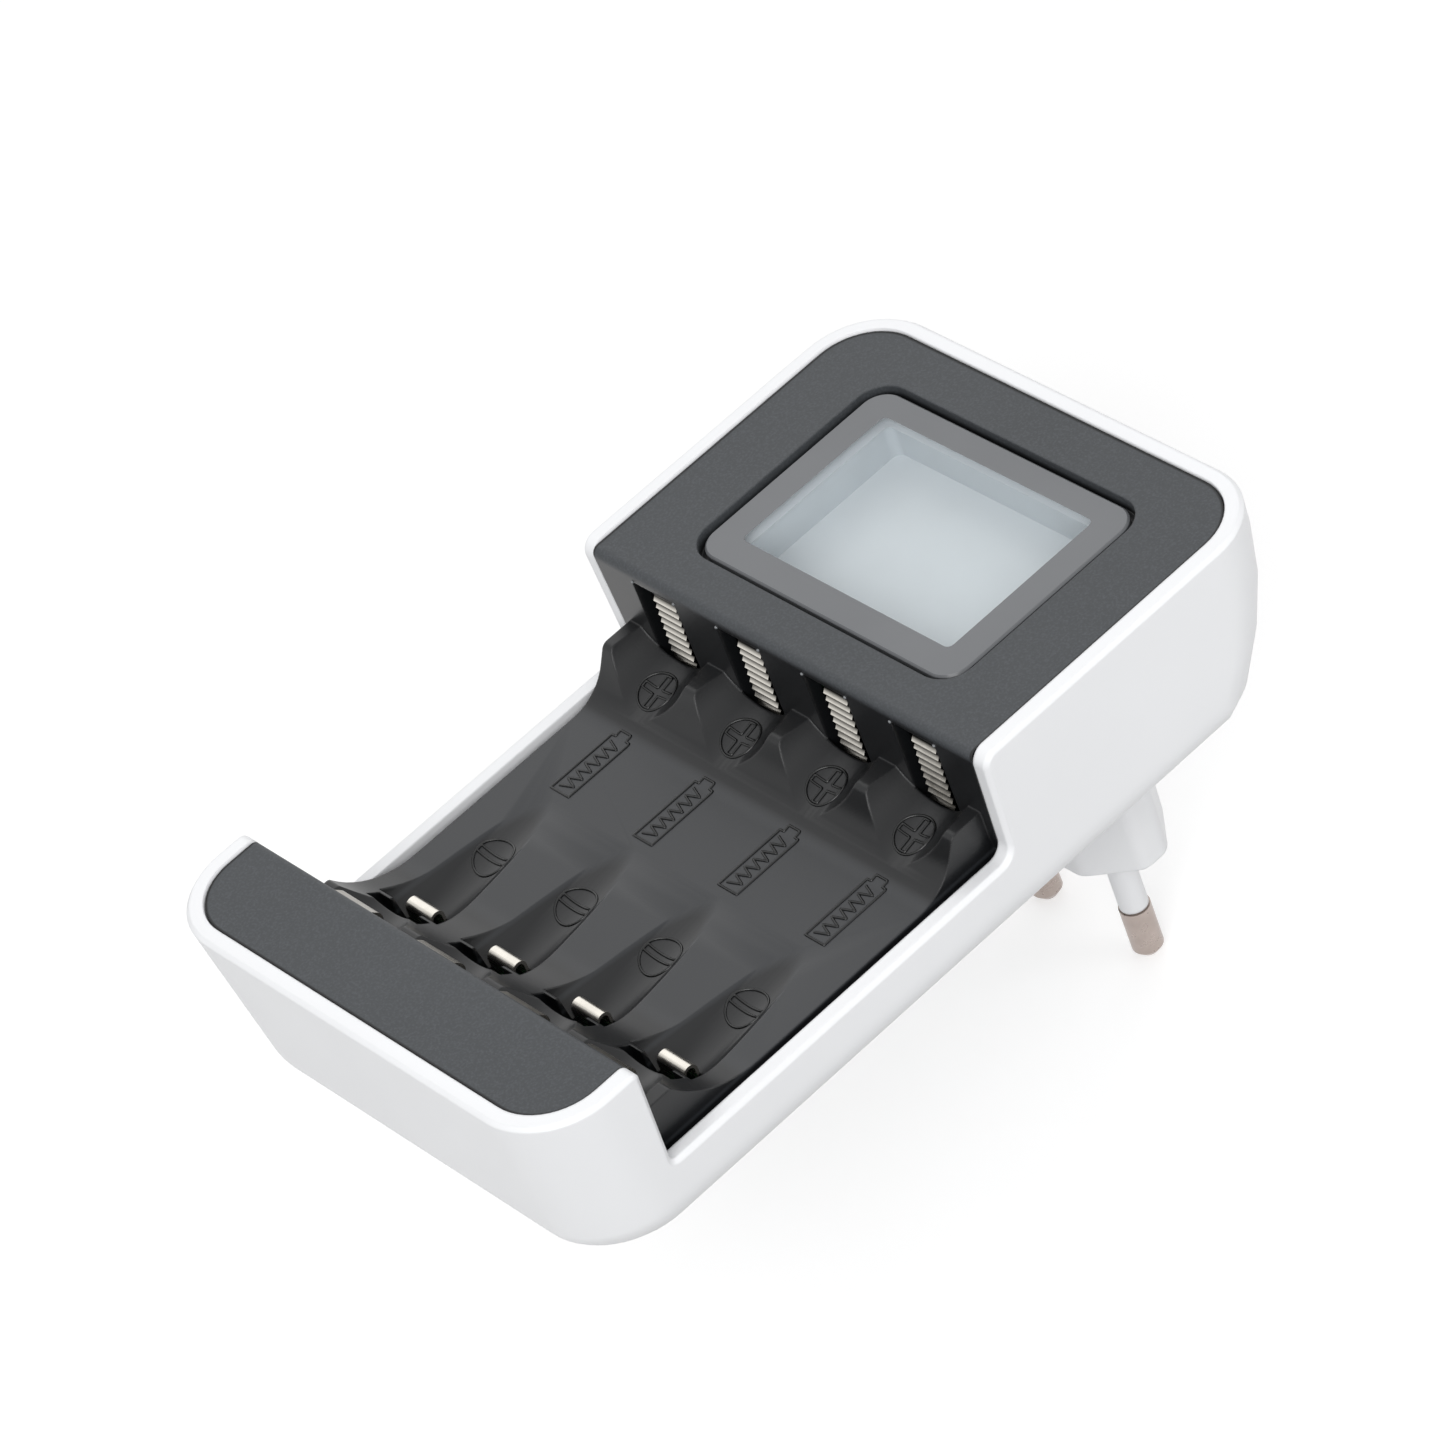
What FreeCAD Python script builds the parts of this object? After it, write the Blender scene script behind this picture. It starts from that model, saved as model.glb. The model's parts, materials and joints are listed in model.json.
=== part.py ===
import FreeCAD, Part
import Sketcher
import math
import os
import re

# Plug-in charger for four cells, with a display. Millimetres.
# Origin: middle of the plug face. +X to the right, +Y towards the head, +Z out of the display.
# The plug pins point along -Z.

doc = FreeCAD.newDocument("cell_charger")
sheet = doc.addObject("Spreadsheet::Sheet", "Sizes")

SIZES = {
    # tub
    "panel_width": 66.0,
    "rim_wall": 2.2,
    "side_slope": 0.0796,
    "toe_slope": 0.105,
    "body_deep": 26.8,
    "tower_tall": 23.7,
    "plug_to_bay": 27.1,
    "head_long": 45.6,
    "bay_long": 53.3,
    "toe_long": 12.3,
    "toe_drop": 0.5,
    "corner_round": 10.0,
    "bottom_round": 4.5,
    "rear_straight": 4.0,
    "rear_curve": 33.0,
    "rear_share": 0.45,
    "rim_rise": 0.3,
    "rim_bevel": 0.55,
    "bay_rim_deep": 15.9,
    "rim_bend": 2.0,
    "rim_notch_bend": 0.9,
    "rim_toe_bend": 1.3,
    "fit_gap": 0.15,
    "bite": 0.5,
    "spare": 1.0,
    # troughs and grooves for the cells
    "cell_pitch": 15.0,
    "trough_round": 7.5,
    "trough_axis_deep": 5.9,
    "trough_lead": 8.0,
    "trough_reach": 28.6,
    "head_trough_lean": 13.0,
    "groove_round": 5.4,
    "groove_lean": 7.1,
    "groove_start": 10.2,
    "groove_end": 44.9,
    "gutter_start": 18.0,
    "gutter_drop": 3.5,
    "pocket_wide": 9.4,
    "pocket_long": 1.5,
    "notch_wide": 5.4,
    "notch_long": 3.5,
    "pocket_frame_deep": 19.6,
    # tray
    "cover_wall": 1.8,
    "gutter_wall": 1.4,
    "tray_half": 30.5,
    "land_deep": 10.3,
    "head_land_long": 4.5,
    "head_land_round": 1.2,
    "head_slope_end": 7.9,
    "head_slope_round": 7.0,
    "floor_deep": 16.2,
    "ledge_deep": 17.2,
    "flange_thick": 1.0,
    "toe_rise_foot": 44.1,
    "toe_rise_top": 48.5,
    "toe_rise_round": 13.5,
    "toe_land_round": 0.6,
    "slot_wide": 7.5,
    "slot_top_deep": 2.0,
    "slot_low_deep": 14.6,
    "toe_slot_top_deep": 3.2,
    "toe_slot_low_deep": 13.4,
    "panel_edge_round": 1.0,
    "lip_wall": 1.4,
    "lip_deep": 3.4,
    # display
    "lens_start": 6.9,
    "lens_side_border": 4.25,
    "lens_toe_border": 4.0,
    "lens_head_border": 3.5,
    "lens_thick": 1.5,
    "lens_sunk": 0.4,
    "lens_gap": 0.8,
    "lens_round": 3.2,
    "lens_edge": 0.25,
    "ledge_thick": 1.0,
    "ledge_gap": 0.95,
    "view_wide": 35.8,
    "view_long": 23.5,
    "view_margin": 0.3,
    "view_round": 1.2,
    "collar_wall": 1.0,
    "glass_deep": 6.6,
    "glass_thick": 1.8,
    "glass_margin": 3.2,
    "holder_wall": 1.4,
    "holder_ceiling": 1.0,
    "seat_gap": 0.1,
    "connector_thick": 2.0,
    "connector_wide": 30.0,
    "control_board_deep": 10.0,
    "control_out": 0.85,
    "control_toe_edge": 0.9,
    "control_head_edge": 1.8,
    "board_thick": 1.6,
    "chip_wide": 10.0,
    "chip_along": 27.0,
    "chip_tall": 1.2,
    # plug
    "plug_wide": 35.3,
    "plug_thick": 13.7,
    "plug_flat": 23.0,
    "plug_end": 3.6,
    "plug_slope": 2.0,
    "plug_corner_round": 2.6,
    "plug_edge_bevel": 1.1,
    "plug_inset_share": 0.3,
    "tower_wall": 2.0,
    "plug_face_wall": 2.5,
    "insert_tall": 8.0,
    "pin_spacing": 18.6,
    "pin_tip_spacing": 17.8,
    "pin_long": 19.0,
    "pin_round": 2.0,
    "pin_tip_bevel": 0.9,
    "pin_tip_tall": 1.1,
    "pin_core_round": 1.55,
    "pin_inside": 12.5,
    "pin_ring": 0.2,
    "sleeve_round": 1.84,
    "sleeve_long": 11.0,
    "sleeve_gap": 0.02,
    "slide_gap": 0.05,
    "lead_thick": 0.6,
    "lead_wide": 3.0,
    "lead_end": 0.8,
    "lead_gap": 0.2,
    # contacts
    "strip_thick": 0.4,
    "plus_strip_wide": 4.1,
    "plus_top_deep": 3.4,
    "plus_low_deep": 14.0,
    "plus_top_back": 1.35,
    "plus_low_back": 0.85,
    "plus_tab_long": 2.3,
    "plus_tail_back": 2.7,
    "plus_bend": 0.9,
    "rib_step": 1.1,
    "rib_reach": 0.35,
    "nose_wide": 6.8,
    "nose_tail_back": 2.6,
    "nose_bend_deep": 13.2,
    "nose_reach": 4.75,
    "nose_deep": 9.9,
    "nose_tip_back": 0.7,
    "nose_tip_deep": 4.5,
    "nose_bend": 1.2,
    "tab_wide": 4.6,
    "tab_top_deep": 15.5,
    "tab_bend": 0.84,
    "tab_forward": 3.0,
    "tab_front_long": 2.6,
    "foot_gap": 0.3,
    # charger board and what stands on it
    "board_lift": 1.2,
    "board_half": 27.0,
    "board_head": 28.5,
    "board_past_wall": 3.6,
    "transformer_across": 10.0,
    "transformer_along": 14.0,
    "core_wide": 14.0,
    "core_long": 9.0,
    "core_tall": 9.4,
    "core_leg": 1.8,
    "coil_long": 13.0,
    "mains_capacitor_round": 4.0,
    "mains_capacitor_long": 14.0,
    "mains_capacitor_out": 20.0,
    "mains_capacitor_along": 20.0,
    "output_capacitor_round": 3.15,
    "output_capacitor_tall": 8.0,
    "output_capacitor_across": 22.5,
    "output_capacitor_along": 8.0,
    "output_capacitor_step": 7.5,
    "film_wide": 10.0,
    "film_long": 4.0,
    "film_tall": 8.0,
    "film_across": 19.0,
    "film_along": 11.0,
    "controller_wide": 9.3,
    "controller_long": 6.4,
    "controller_tall": 3.4,
    "controller_across": 5.5,
    "controller_along": 11.0,
    "diode_wide": 2.6,
    "diode_long": 4.5,
    "diode_tall": 2.1,
    "diode_across": 15.0,
    "diode_step": 10.0,
    "diode_along": 15.0,
    "header_wide": 12.0,
    "header_thick": 2.5,
    "header_across": 6.5,
    "header_along": 5.6,
    # screws
    "screw_round": 1.4,
    "screw_gap": 0.1,
    "pilot_gap": 0.05,
    "pilot_deeper": 0.3,
    "screw_head_round": 2.6,
    "screw_head_tall": 1.8,
    "screw_long": 9.0,
    "screw_sunk": 6.5,
    "well_gap": 0.3,
    "post_round": 2.8,
    "boss_wall": 1.0,
    "boss_seat": 2.5,
    "head_screw_out": 4.05,
    "screw_past_board": 4.5,
    "toe_screw_in": 2.2,
    "toe_notch_wide": 9.0,
    "toe_notch_long": 3.0,
    "small_screw_round": 0.9,
    "small_screw_head": 1.7,
    "small_head_tall": 1.2,
    "small_screw_long": 4.0,
    "small_post_round": 2.2,
    "board_screw_in": 3.4,
    "board_screw_head_in": 3.5,
    "board_screw_toe_in": 6.4,
    "control_post_round": 1.8,
    "control_post_out": 6.8,
}
for row, (name, value) in enumerate(SIZES.items(), start=1):
    sheet.set(f"A{row}", name)
    sheet.set(f"B{row}", str(value))
    sheet.setAlias(f"B{row}", name)
doc.recompute()

# Places worked out from the sizes, as formulas: along Y and Z of the part.
TOP = "(tower_tall + body_deep)"
BOTTOM = "tower_tall"
HEAD_WALL = "(-plug_to_bay)"
TOE_WALL = "(-plug_to_bay - bay_long)"
PANEL_TOE = "(-plug_to_bay - bay_long - toe_long)"
PANEL_REAR = "(head_long - plug_to_bay)"
TOE_FRONT = f"({PANEL_TOE} - rim_wall)"
REAR = f"({PANEL_REAR} + rim_wall)"
HALF = "(panel_width / 2 + rim_wall)"


def formula(text):
    """Put the sheet's name before each size in a formula."""
    def mark(found):
        return "Sizes." + found.group() if found.group() in SIZES else found.group()
    return re.sub(r"[a-z][a-z_]*", mark, text)


def number(text):
    """Value of a formula now."""
    return float(sheet.evalExpression(formula(text)))


def bind(thing, name, text):
    thing.setExpression(name, formula(text))


def base_plane(body, role):
    return [item for item in body.Origin.OriginFeatures if item.Role == role][0]


def new_sketch(body, name, role, offset=None):
    sketch = body.newObject("Sketcher::SketchObject", name)
    sketch.AttachmentSupport = (base_plane(body, role), [""])
    sketch.MapMode = "FlatFace"
    if offset is not None:
        bind(sketch, "AttachmentOffset.Base.z", offset)
    return sketch


def fix_point(sketch, geometry, end, across, up):
    """Hold a point of the sketch at two formulas."""
    for axis, text in (("DistanceX", across), ("DistanceY", up)):
        index = sketch.addConstraint(Sketcher.Constraint(axis, -1, 1, geometry, end, number(text)))
        bind(sketch, f"Constraints[{index}]", text)


def draw(sketch, corners, closed=True):
    """Draw straight runs through corners given as (across, up) or (across, up, radius) formulas."""
    spots = [FreeCAD.Vector(number(corner[0]), number(corner[1]), 0) for corner in corners]
    rounds = [number(corner[2]) if len(corner) > 2 else 0.0 for corner in corners]
    count = len(corners)
    runs = count if closed else count - 1
    heading = [(spots[(i + 1) % count] - spots[i]).normalize() for i in range(runs)]
    trims = []
    for i in range(count):
        inner = closed or 0 < i < count - 1
        if not inner or rounds[i] == 0:
            trims.append(0.0)
            continue
        turn = heading[i - 1].getAngle(heading[i])
        trims.append(rounds[i] * math.tan(turn / 2))
    start = sketch.GeometryCount
    for i in range(runs):
        after = (i + 1) % count
        sketch.addGeometry(Part.LineSegment(spots[i] + heading[i] * trims[i],
                                            spots[after] - heading[i] * trims[after]), False)
    for i in range(count):
        before = start + (i - 1) % runs
        following = start + i
        if not closed and i == 0:
            fix_point(sketch, following, 1, corners[i][0], corners[i][1])
        elif not closed and i == count - 1:
            fix_point(sketch, before, 2, corners[i][0], corners[i][1])
        elif trims[i] == 0:
            sketch.addConstraint(Sketcher.Constraint("Coincident", before, 2, following, 1))
            fix_point(sketch, following, 1, corners[i][0], corners[i][1])
        else:
            round_corner(sketch, before, following, corners[i], spots[i], rounds[i], trims[i],
                         heading[i - 1], heading[i])
    return sketch


def round_corner(sketch, before, following, corner, spot, radius, trim, arriving, leaving):
    """Join two runs by an arc that touches both, with the corner's own point kept."""
    left_turn = arriving.cross(leaving).z > 0
    normal = FreeCAD.Vector(-arriving.y, arriving.x, 0) * (1 if left_turn else -1)
    first = spot - arriving * trim
    last = spot + leaving * trim
    centre = first + normal * radius
    angles = [math.atan2(point.y - centre.y, point.x - centre.x) for point in (first, last)]
    if not left_turn:
        angles.reverse()
    if angles[1] < angles[0]:
        angles[1] += 2 * math.pi
    circle = Part.Circle(centre, FreeCAD.Vector(0, 0, 1), radius)
    arc = sketch.addGeometry(Part.ArcOfCircle(circle, angles[0], angles[1]), False)
    mark = sketch.addGeometry(Part.Point(spot), True)
    ends = (1, 2) if left_turn else (2, 1)
    sketch.addConstraint(Sketcher.Constraint("Tangent", before, 2, arc, ends[0]))
    sketch.addConstraint(Sketcher.Constraint("Tangent", arc, ends[1], following, 1))
    index = sketch.addConstraint(Sketcher.Constraint("Radius", arc, radius))
    bind(sketch, f"Constraints[{index}]", corner[2])
    sketch.addConstraint(Sketcher.Constraint("PointOnObject", mark, 1, before))
    sketch.addConstraint(Sketcher.Constraint("PointOnObject", mark, 1, following))
    fix_point(sketch, mark, 1, corner[0], corner[1])


def new_body(name):
    return doc.addObject("PartDesign::Body", name)


def pad(body, sketch, length, middle=True, back=False):
    feature = body.newObject("PartDesign::Pad", sketch.Name + "_pad")
    feature.Profile = sketch
    bind(feature, "Length", length)
    feature.Midplane = middle
    feature.Reversed = back
    doc.recompute()
    return feature


def pocket_through(body, sketch):
    """Cut the sketch through the whole body, both ways."""
    feature = body.newObject("PartDesign::Pocket", sketch.Name + "_pocket")
    feature.Profile = sketch
    feature.Type = "ThroughAll"
    feature.Midplane = True
    doc.recompute()
    return feature


def edges_where(shape, test):
    return [f"Edge{i}" for i, edge in enumerate(shape.Edges, start=1) if test(edge)]


def round_edges(body, feature, names, radius, label):
    fillet = body.newObject("PartDesign::Fillet", label)
    fillet.Base = (feature, names)
    bind(fillet, "Radius", radius)
    doc.recompute()
    return fillet


def bevel_edges(body, feature, names, size, label):
    bevel = body.newObject("PartDesign::Chamfer", label)
    bevel.Base = (feature, names)
    bind(bevel, "Size", size)
    doc.recompute()
    return bevel


def tub_levels(inset, top, rounding, bends):
    """Heights of the tub's outlines, each with how far the rounding and the curved rear draw it in."""
    low = f"({BOTTOM} + {inset})"
    edge = f"(bottom_round - {inset})"
    curve = f"(rear_curve - {inset})"
    straight = f"({TOP} - rear_straight)"
    levels = []
    for i in range(rounding):
        turn = f"{i} * 90 / {rounding}"
        height = f"({low} + {edge} * (1 - cos({turn})))"
        tuck = f"({curve} - sqrt({curve}^2 - ({straight} - {height})^2))"
        levels.append((height, f"({edge} * (1 - sin({turn})))", tuck))
    lean = f"asin(({straight} - {low} - {edge}) / {curve})"
    for i in range(bends, -1, -1):
        turn = f"{lean} * {i} / {bends}"
        levels.append((f"({straight} - {curve} * sin({turn}))", "0", f"({curve} * (1 - cos({turn})))"))
    levels.append((f"({top})", "0", "0"))
    return levels


def tub_form(name, inset, top, rounding=1, bends=2):
    """The tub's form drawn in by inset, ruled through outlines from its bottom to above the rim.

    rounding and bends are the steps that make the bottom's rounding and the curved rear."""
    body = new_body(name)
    outlines = []
    for i, (height, draft, tuck) in enumerate(tub_levels(inset, top, rounding, bends), start=1):
        drop = f"({TOP} - {height})"
        half = f"({HALF} - {inset} - side_slope * {drop} - {draft})"
        toe = f"({TOE_FRONT} + {inset} + toe_slope * {drop} + {draft})"
        rear = f"({REAR} - {inset} - {tuck} - rear_share * {draft})"
        corner = f"(corner_round - {inset})"
        outline = new_sketch(body, f"{name}_level_{i}", "XY_Plane", height)
        draw(outline, [(f"-{half}", toe, corner), (half, toe, corner),
                       (half, rear, corner), (f"-{half}", rear, corner)])
        outlines.append(outline)
    doc.recompute()
    loft = body.newObject("PartDesign::AdditiveLoft", name + "_loft")
    loft.Profile = outlines[0]
    loft.Sections = outlines[1:]
    loft.Ruled = True
    doc.recompute()
    return body


def block(name, x, y, z):
    """Upright block between pairs of formulas along X, Y and Z."""
    made = doc.addObject("Part::Box", name)
    for size, place, ends in (("Length", "x", x), ("Width", "y", y), ("Height", "z", z)):
        bind(made, size, f"({ends[1]}) - ({ends[0]})")
        bind(made, f"Placement.Base.{place}", ends[0])
    return made


def rod(name, radius, x, y, z):
    """Upright cylinder at x, y between a pair of formulas along Z."""
    made = doc.addObject("Part::Cylinder", name)
    bind(made, "Radius", radius)
    bind(made, "Height", f"({z[1]}) - ({z[0]})")
    bind(made, "Placement.Base.x", x)
    bind(made, "Placement.Base.y", y)
    bind(made, "Placement.Base.z", z[0])
    return made


def peg(name, sides, radius, x, y, z):
    """Upright prism at x, y between a pair of formulas along Z, with its corners at radius."""
    made = doc.addObject("Part::Prism", name)
    made.Polygon = sides
    bind(made, "Circumradius", radius)
    bind(made, "Height", f"({z[1]}) - ({z[0]})")
    bind(made, "Placement.Base.x", x)
    bind(made, "Placement.Base.y", y)
    bind(made, "Placement.Base.z", z[0])
    return made


def lying_rod(name, radius, x, foot, reach, lean):
    """Cylinder in the plane X = x from foot (y, z) towards -Y, dropping by lean degrees."""
    made = doc.addObject("Part::Cylinder", name)
    made.Placement = FreeCAD.Placement(FreeCAD.Vector(), FreeCAD.Rotation(FreeCAD.Vector(1, 0, 0), 90))
    bind(made, "Radius", radius)
    bind(made, "Height", reach)
    bind(made, "Placement.Base.x", x)
    bind(made, "Placement.Base.y", foot[0])
    bind(made, "Placement.Base.z", foot[1])
    bind(made, "Placement.Rotation.Angle", f"90 + {lean}")
    return made


def cross_peg(name, sides, radius, x, y, z):
    """Prism along X between a pair of formulas, at y, z, with its corners at radius."""
    made = doc.addObject("Part::Prism", name)
    made.Placement = FreeCAD.Placement(FreeCAD.Vector(), FreeCAD.Rotation(FreeCAD.Vector(0, 1, 0), 90))
    made.Polygon = sides
    bind(made, "Circumradius", radius)
    bind(made, "Height", f"({x[1]}) - ({x[0]})")
    bind(made, "Placement.Base.x", x[0])
    bind(made, "Placement.Base.y", y)
    bind(made, "Placement.Base.z", z)
    return made


def join(name, things):
    if len(things) == 1:
        return things[0]
    made = doc.addObject("Part::MultiFuse", name)
    made.Shapes = things
    made.Refine = True
    return made


def cut(name, base, tools):
    made = doc.addObject("Part::Cut", name)
    made.Base = base
    made.Tool = join(name + "_tools", tools)
    made.Refine = True
    return made


def overlap(name, first, second):
    made = doc.addObject("Part::MultiCommon", name)
    made.Shapes = [first, second]
    made.Refine = True
    return made


def body_on(name, base):
    """Body that carries on from another shape, for more features on it."""
    body = new_body(name)
    doc.recompute()
    body.BaseFeature = base
    doc.recompute()
    return body


def plate(name, half, y, z, radius):
    """Flat plate with rounded corners: half its width, and pairs of formulas along Y and Z."""
    body = new_body(name)
    sketch = new_sketch(body, name + "_outline", "XY_Plane", z[0])
    draw(sketch, [(f"-({half})", y[0], radius), (half, y[0], radius),
                  (half, y[1], radius), (f"-({half})", y[1], radius)])
    pad(body, sketch, f"({z[1]}) - ({z[0]})", middle=False)
    return body


def side_profile(name, corners, width):
    """Outline in the Y-Z plane, padded evenly to both sides of it."""
    body = new_body(name)
    sketch = new_sketch(body, name + "_outline", "YZ_Plane")
    draw(sketch, corners)
    pad(body, sketch, width)
    return body


def strip(name, x, path, wide):
    """Bent metal strip: a path in the Y-Z plane that starts upright, swept with a flat section."""
    body = new_body(name)
    line = new_sketch(body, name + "_path", "YZ_Plane")
    draw(line, path, closed=False)
    section = new_sketch(body, name + "_section", "XY_Plane", path[0][1])
    half, thin = f"({wide}) / 2", "strip_thick / 2"
    draw(section, [(f"-{half}", f"{path[0][0]} - {thin}"), (half, f"{path[0][0]} - {thin}"),
                   (half, f"{path[0][0]} + {thin}"), (f"-{half}", f"{path[0][0]} + {thin}")])
    doc.recompute()
    pipe = body.newObject("PartDesign::AdditivePipe", name + "_pipe")
    pipe.Profile = section
    pipe.Spine = line
    bind(body, "Placement.Base.x", x)
    doc.recompute()
    return body


pieces = {}


def keep(node, thing):
    """Name a finished piece after its node."""
    thing.Label = node
    pieces[node] = thing
    return thing


# Heights and places that several pieces share.
TOE_TOP = f"({TOP} - toe_drop)"
LAND = f"({TOP} - land_deep)"
FLOOR = f"({TOP} - floor_deep)"
LEDGE = f"({TOP} - ledge_deep)"
UNDERSIDE = f"({LEDGE} - flange_thick)"
INSIDE = f"({BOTTOM} + rim_wall)"
BOARD_LOW = f"({INSIDE} + board_lift)"
BOARD_TOP = f"({BOARD_LOW} + board_thick)"
COVER_INSET = "(rim_wall + fit_gap)"
LENS_BACK = f"({TOP} - lens_sunk - lens_thick)"
LENS_LEDGE = f"({LENS_BACK} - ledge_thick)"
LENS_HALF = "(view_wide / 2 + lens_side_border)"
LENS_TOE = f"({HEAD_WALL} + lens_start)"
VIEW_TOE = f"({LENS_TOE} + lens_toe_border)"
VIEW_HEAD = f"({VIEW_TOE} + view_long)"
LENS_HEAD = f"({VIEW_HEAD} + lens_head_border)"
BOARD_HEAD = f"({HEAD_WALL} + board_head)"
BOARD_TOE = f"({TOE_WALL} - board_past_wall)"
GLASS_TOP = f"({TOP} - glass_deep)"
GLASS_BACK = f"({GLASS_TOP} - glass_thick)"
CONTROL_TOP = f"({TOP} - control_board_deep)"
CONTROL_LOW = f"({CONTROL_TOP} - board_thick)"
TROUGH_BOTTOM = f"({TOP} - trough_axis_deep - trough_round)"
BOSS_TOP = f"({BOTTOM} + screw_sunk + boss_seat)"


def cell_centre(cell):
    return f"(({cell} - 2.5) * cell_pitch)"


CELLS = [1, 2, 3, 4]
CASE_SCREWS = [(f"{sign}({LENS_HALF} + head_screw_out)", f"({BOARD_HEAD} + screw_past_board)",
                f"({TOP} - cover_wall / 2)") for sign in ("-", "")]
CASE_SCREWS += [(f"{sign}cell_pitch", f"({BOARD_TOE} - toe_screw_in)", f"({TOE_TOP} - cover_wall / 2)")
                for sign in ("-", "")]
BOARD_SCREWS = [(f"{sign}(board_half - board_screw_in)", along) for sign in ("-", "")
                for along in (f"({BOARD_HEAD} - board_screw_head_in)", f"({BOARD_TOE} + board_screw_toe_in)")]
CONTROL_TOE = f"({VIEW_TOE} - control_post_out)"
CONTROL_HEAD = f"({VIEW_HEAD} + control_post_out)"
CONTROL_SCREWS = [(f"{sign}cell_pitch", along) for sign in ("-", "") for along in (CONTROL_TOE, CONTROL_HEAD)]


def pin_placed(thing, side, start):
    """Lean a pin's piece about the plug face, so that the two tips come closer; start is along the pin."""
    sign = 1 if side == "right" else -1
    lean = f"{sign} * asin((pin_spacing - pin_tip_spacing) / 2 / pin_long)"
    thing.Placement = FreeCAD.Placement(FreeCAD.Vector(), FreeCAD.Rotation(FreeCAD.Vector(0, 1, 0), 1))
    bind(thing, "Placement.Rotation.Angle", lean)
    bind(thing, "Placement.Base.x", f"{sign} * pin_spacing / 2 + ({start}) * sin({lean})")
    bind(thing, "Placement.Base.z", f"({start}) * cos({lean})")
    return thing


def pin_rod(name, side, radius, ends):
    made = doc.addObject("Part::Cylinder", name)
    bind(made, "Radius", radius)
    bind(made, "Height", f"({ends[1]}) - ({ends[0]})")
    return pin_placed(made, side, ends[0])


def plug_form(name, inset, start, end):
    """Eight-sided plug drawn in by inset: flat sides, sloping shoulders, short ends, widening upward."""
    body = new_body(name)
    sketch = new_sketch(body, name + "_outline", "XY_Plane", start)
    flat = f"(plug_flat / 2 - {inset} * plug_inset_share)"
    thick = f"(plug_thick / 2 - {inset})"
    wide = f"(plug_wide / 2 - {inset})"
    end_half = f"(plug_end / 2 - {inset} * plug_inset_share)"
    draw(sketch, [(flat, f"-{thick}"), (wide, f"-{end_half}"), (wide, end_half), (flat, thick),
                  (f"-{flat}", thick), (f"-{wide}", end_half), (f"-{wide}", f"-{end_half}"),
                  (f"-{flat}", f"-{thick}")])
    feature = pad(body, sketch, f"({end}) - ({start})", middle=False)
    bind(feature, "TaperAngle", "plug_slope")
    doc.recompute()
    return body


def plug_tower():
    """Outside of the plug: its upright corners rounded, its face's edge broken."""
    tower = plug_form("tower_outer", "0", "0", INSIDE)
    upright = edges_where(tower.Tip.Shape, lambda edge: edge.BoundBox.ZLength > number("tower_tall") / 2)
    rounded = round_edges(tower, tower.Tip, upright, "plug_corner_round", "tower_corners")
    face = edges_where(rounded.Shape, lambda edge: edge.BoundBox.ZMax < number("bite") / 10)
    bevel_edges(tower, rounded, face, "plug_edge_bevel", "tower_edge")
    return tower


def rim_cut(walls, outside):
    """Cut the tub along its rim, with the long dip at the cell bay, and break the rim's outer edge."""
    body = body_on("shell_rim", walls)
    sketch = new_sketch(body, "rim_line", "YZ_Plane")
    toe_rim, head_rim, dip = f"{TOE_TOP} + rim_rise", f"{TOP} + rim_rise", f"{TOP} - bay_rim_deep"
    above, beyond_toe, beyond_head = f"{TOP} + 5 * spare", f"{TOE_FRONT} - 3 * spare", f"{REAR} + 3 * spare"
    draw(sketch, [(beyond_toe, above), (beyond_toe, toe_rim), (TOE_WALL, toe_rim, "rim_toe_bend"),
                  (TOE_WALL, dip, "rim_notch_bend"), (HEAD_WALL, dip, "rim_bend"),
                  (HEAD_WALL, head_rim, "rim_bend"), (beyond_head, head_rim), (beyond_head, above)])
    rim = pocket_through(body, sketch)
    line = sketch.Shape
    skin = outside.Shape.Shells[0]
    near = number("spare / 100")

    def on_rim(edge):
        spots = [edge.valueAt(edge.FirstParameter + share * (edge.LastParameter - edge.FirstParameter))
                 for share in (0.0, 0.5, 1.0)]
        to_line = max(Part.Vertex(0, spot.y, spot.z).distToShape(line)[0] for spot in spots)
        return to_line < near and max(Part.Vertex(spot).distToShape(skin)[0] for spot in spots) < near

    bevel_edges(body, rim, edges_where(rim.Shape, on_rim), "rim_bevel", "rim_edges")
    return body


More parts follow.
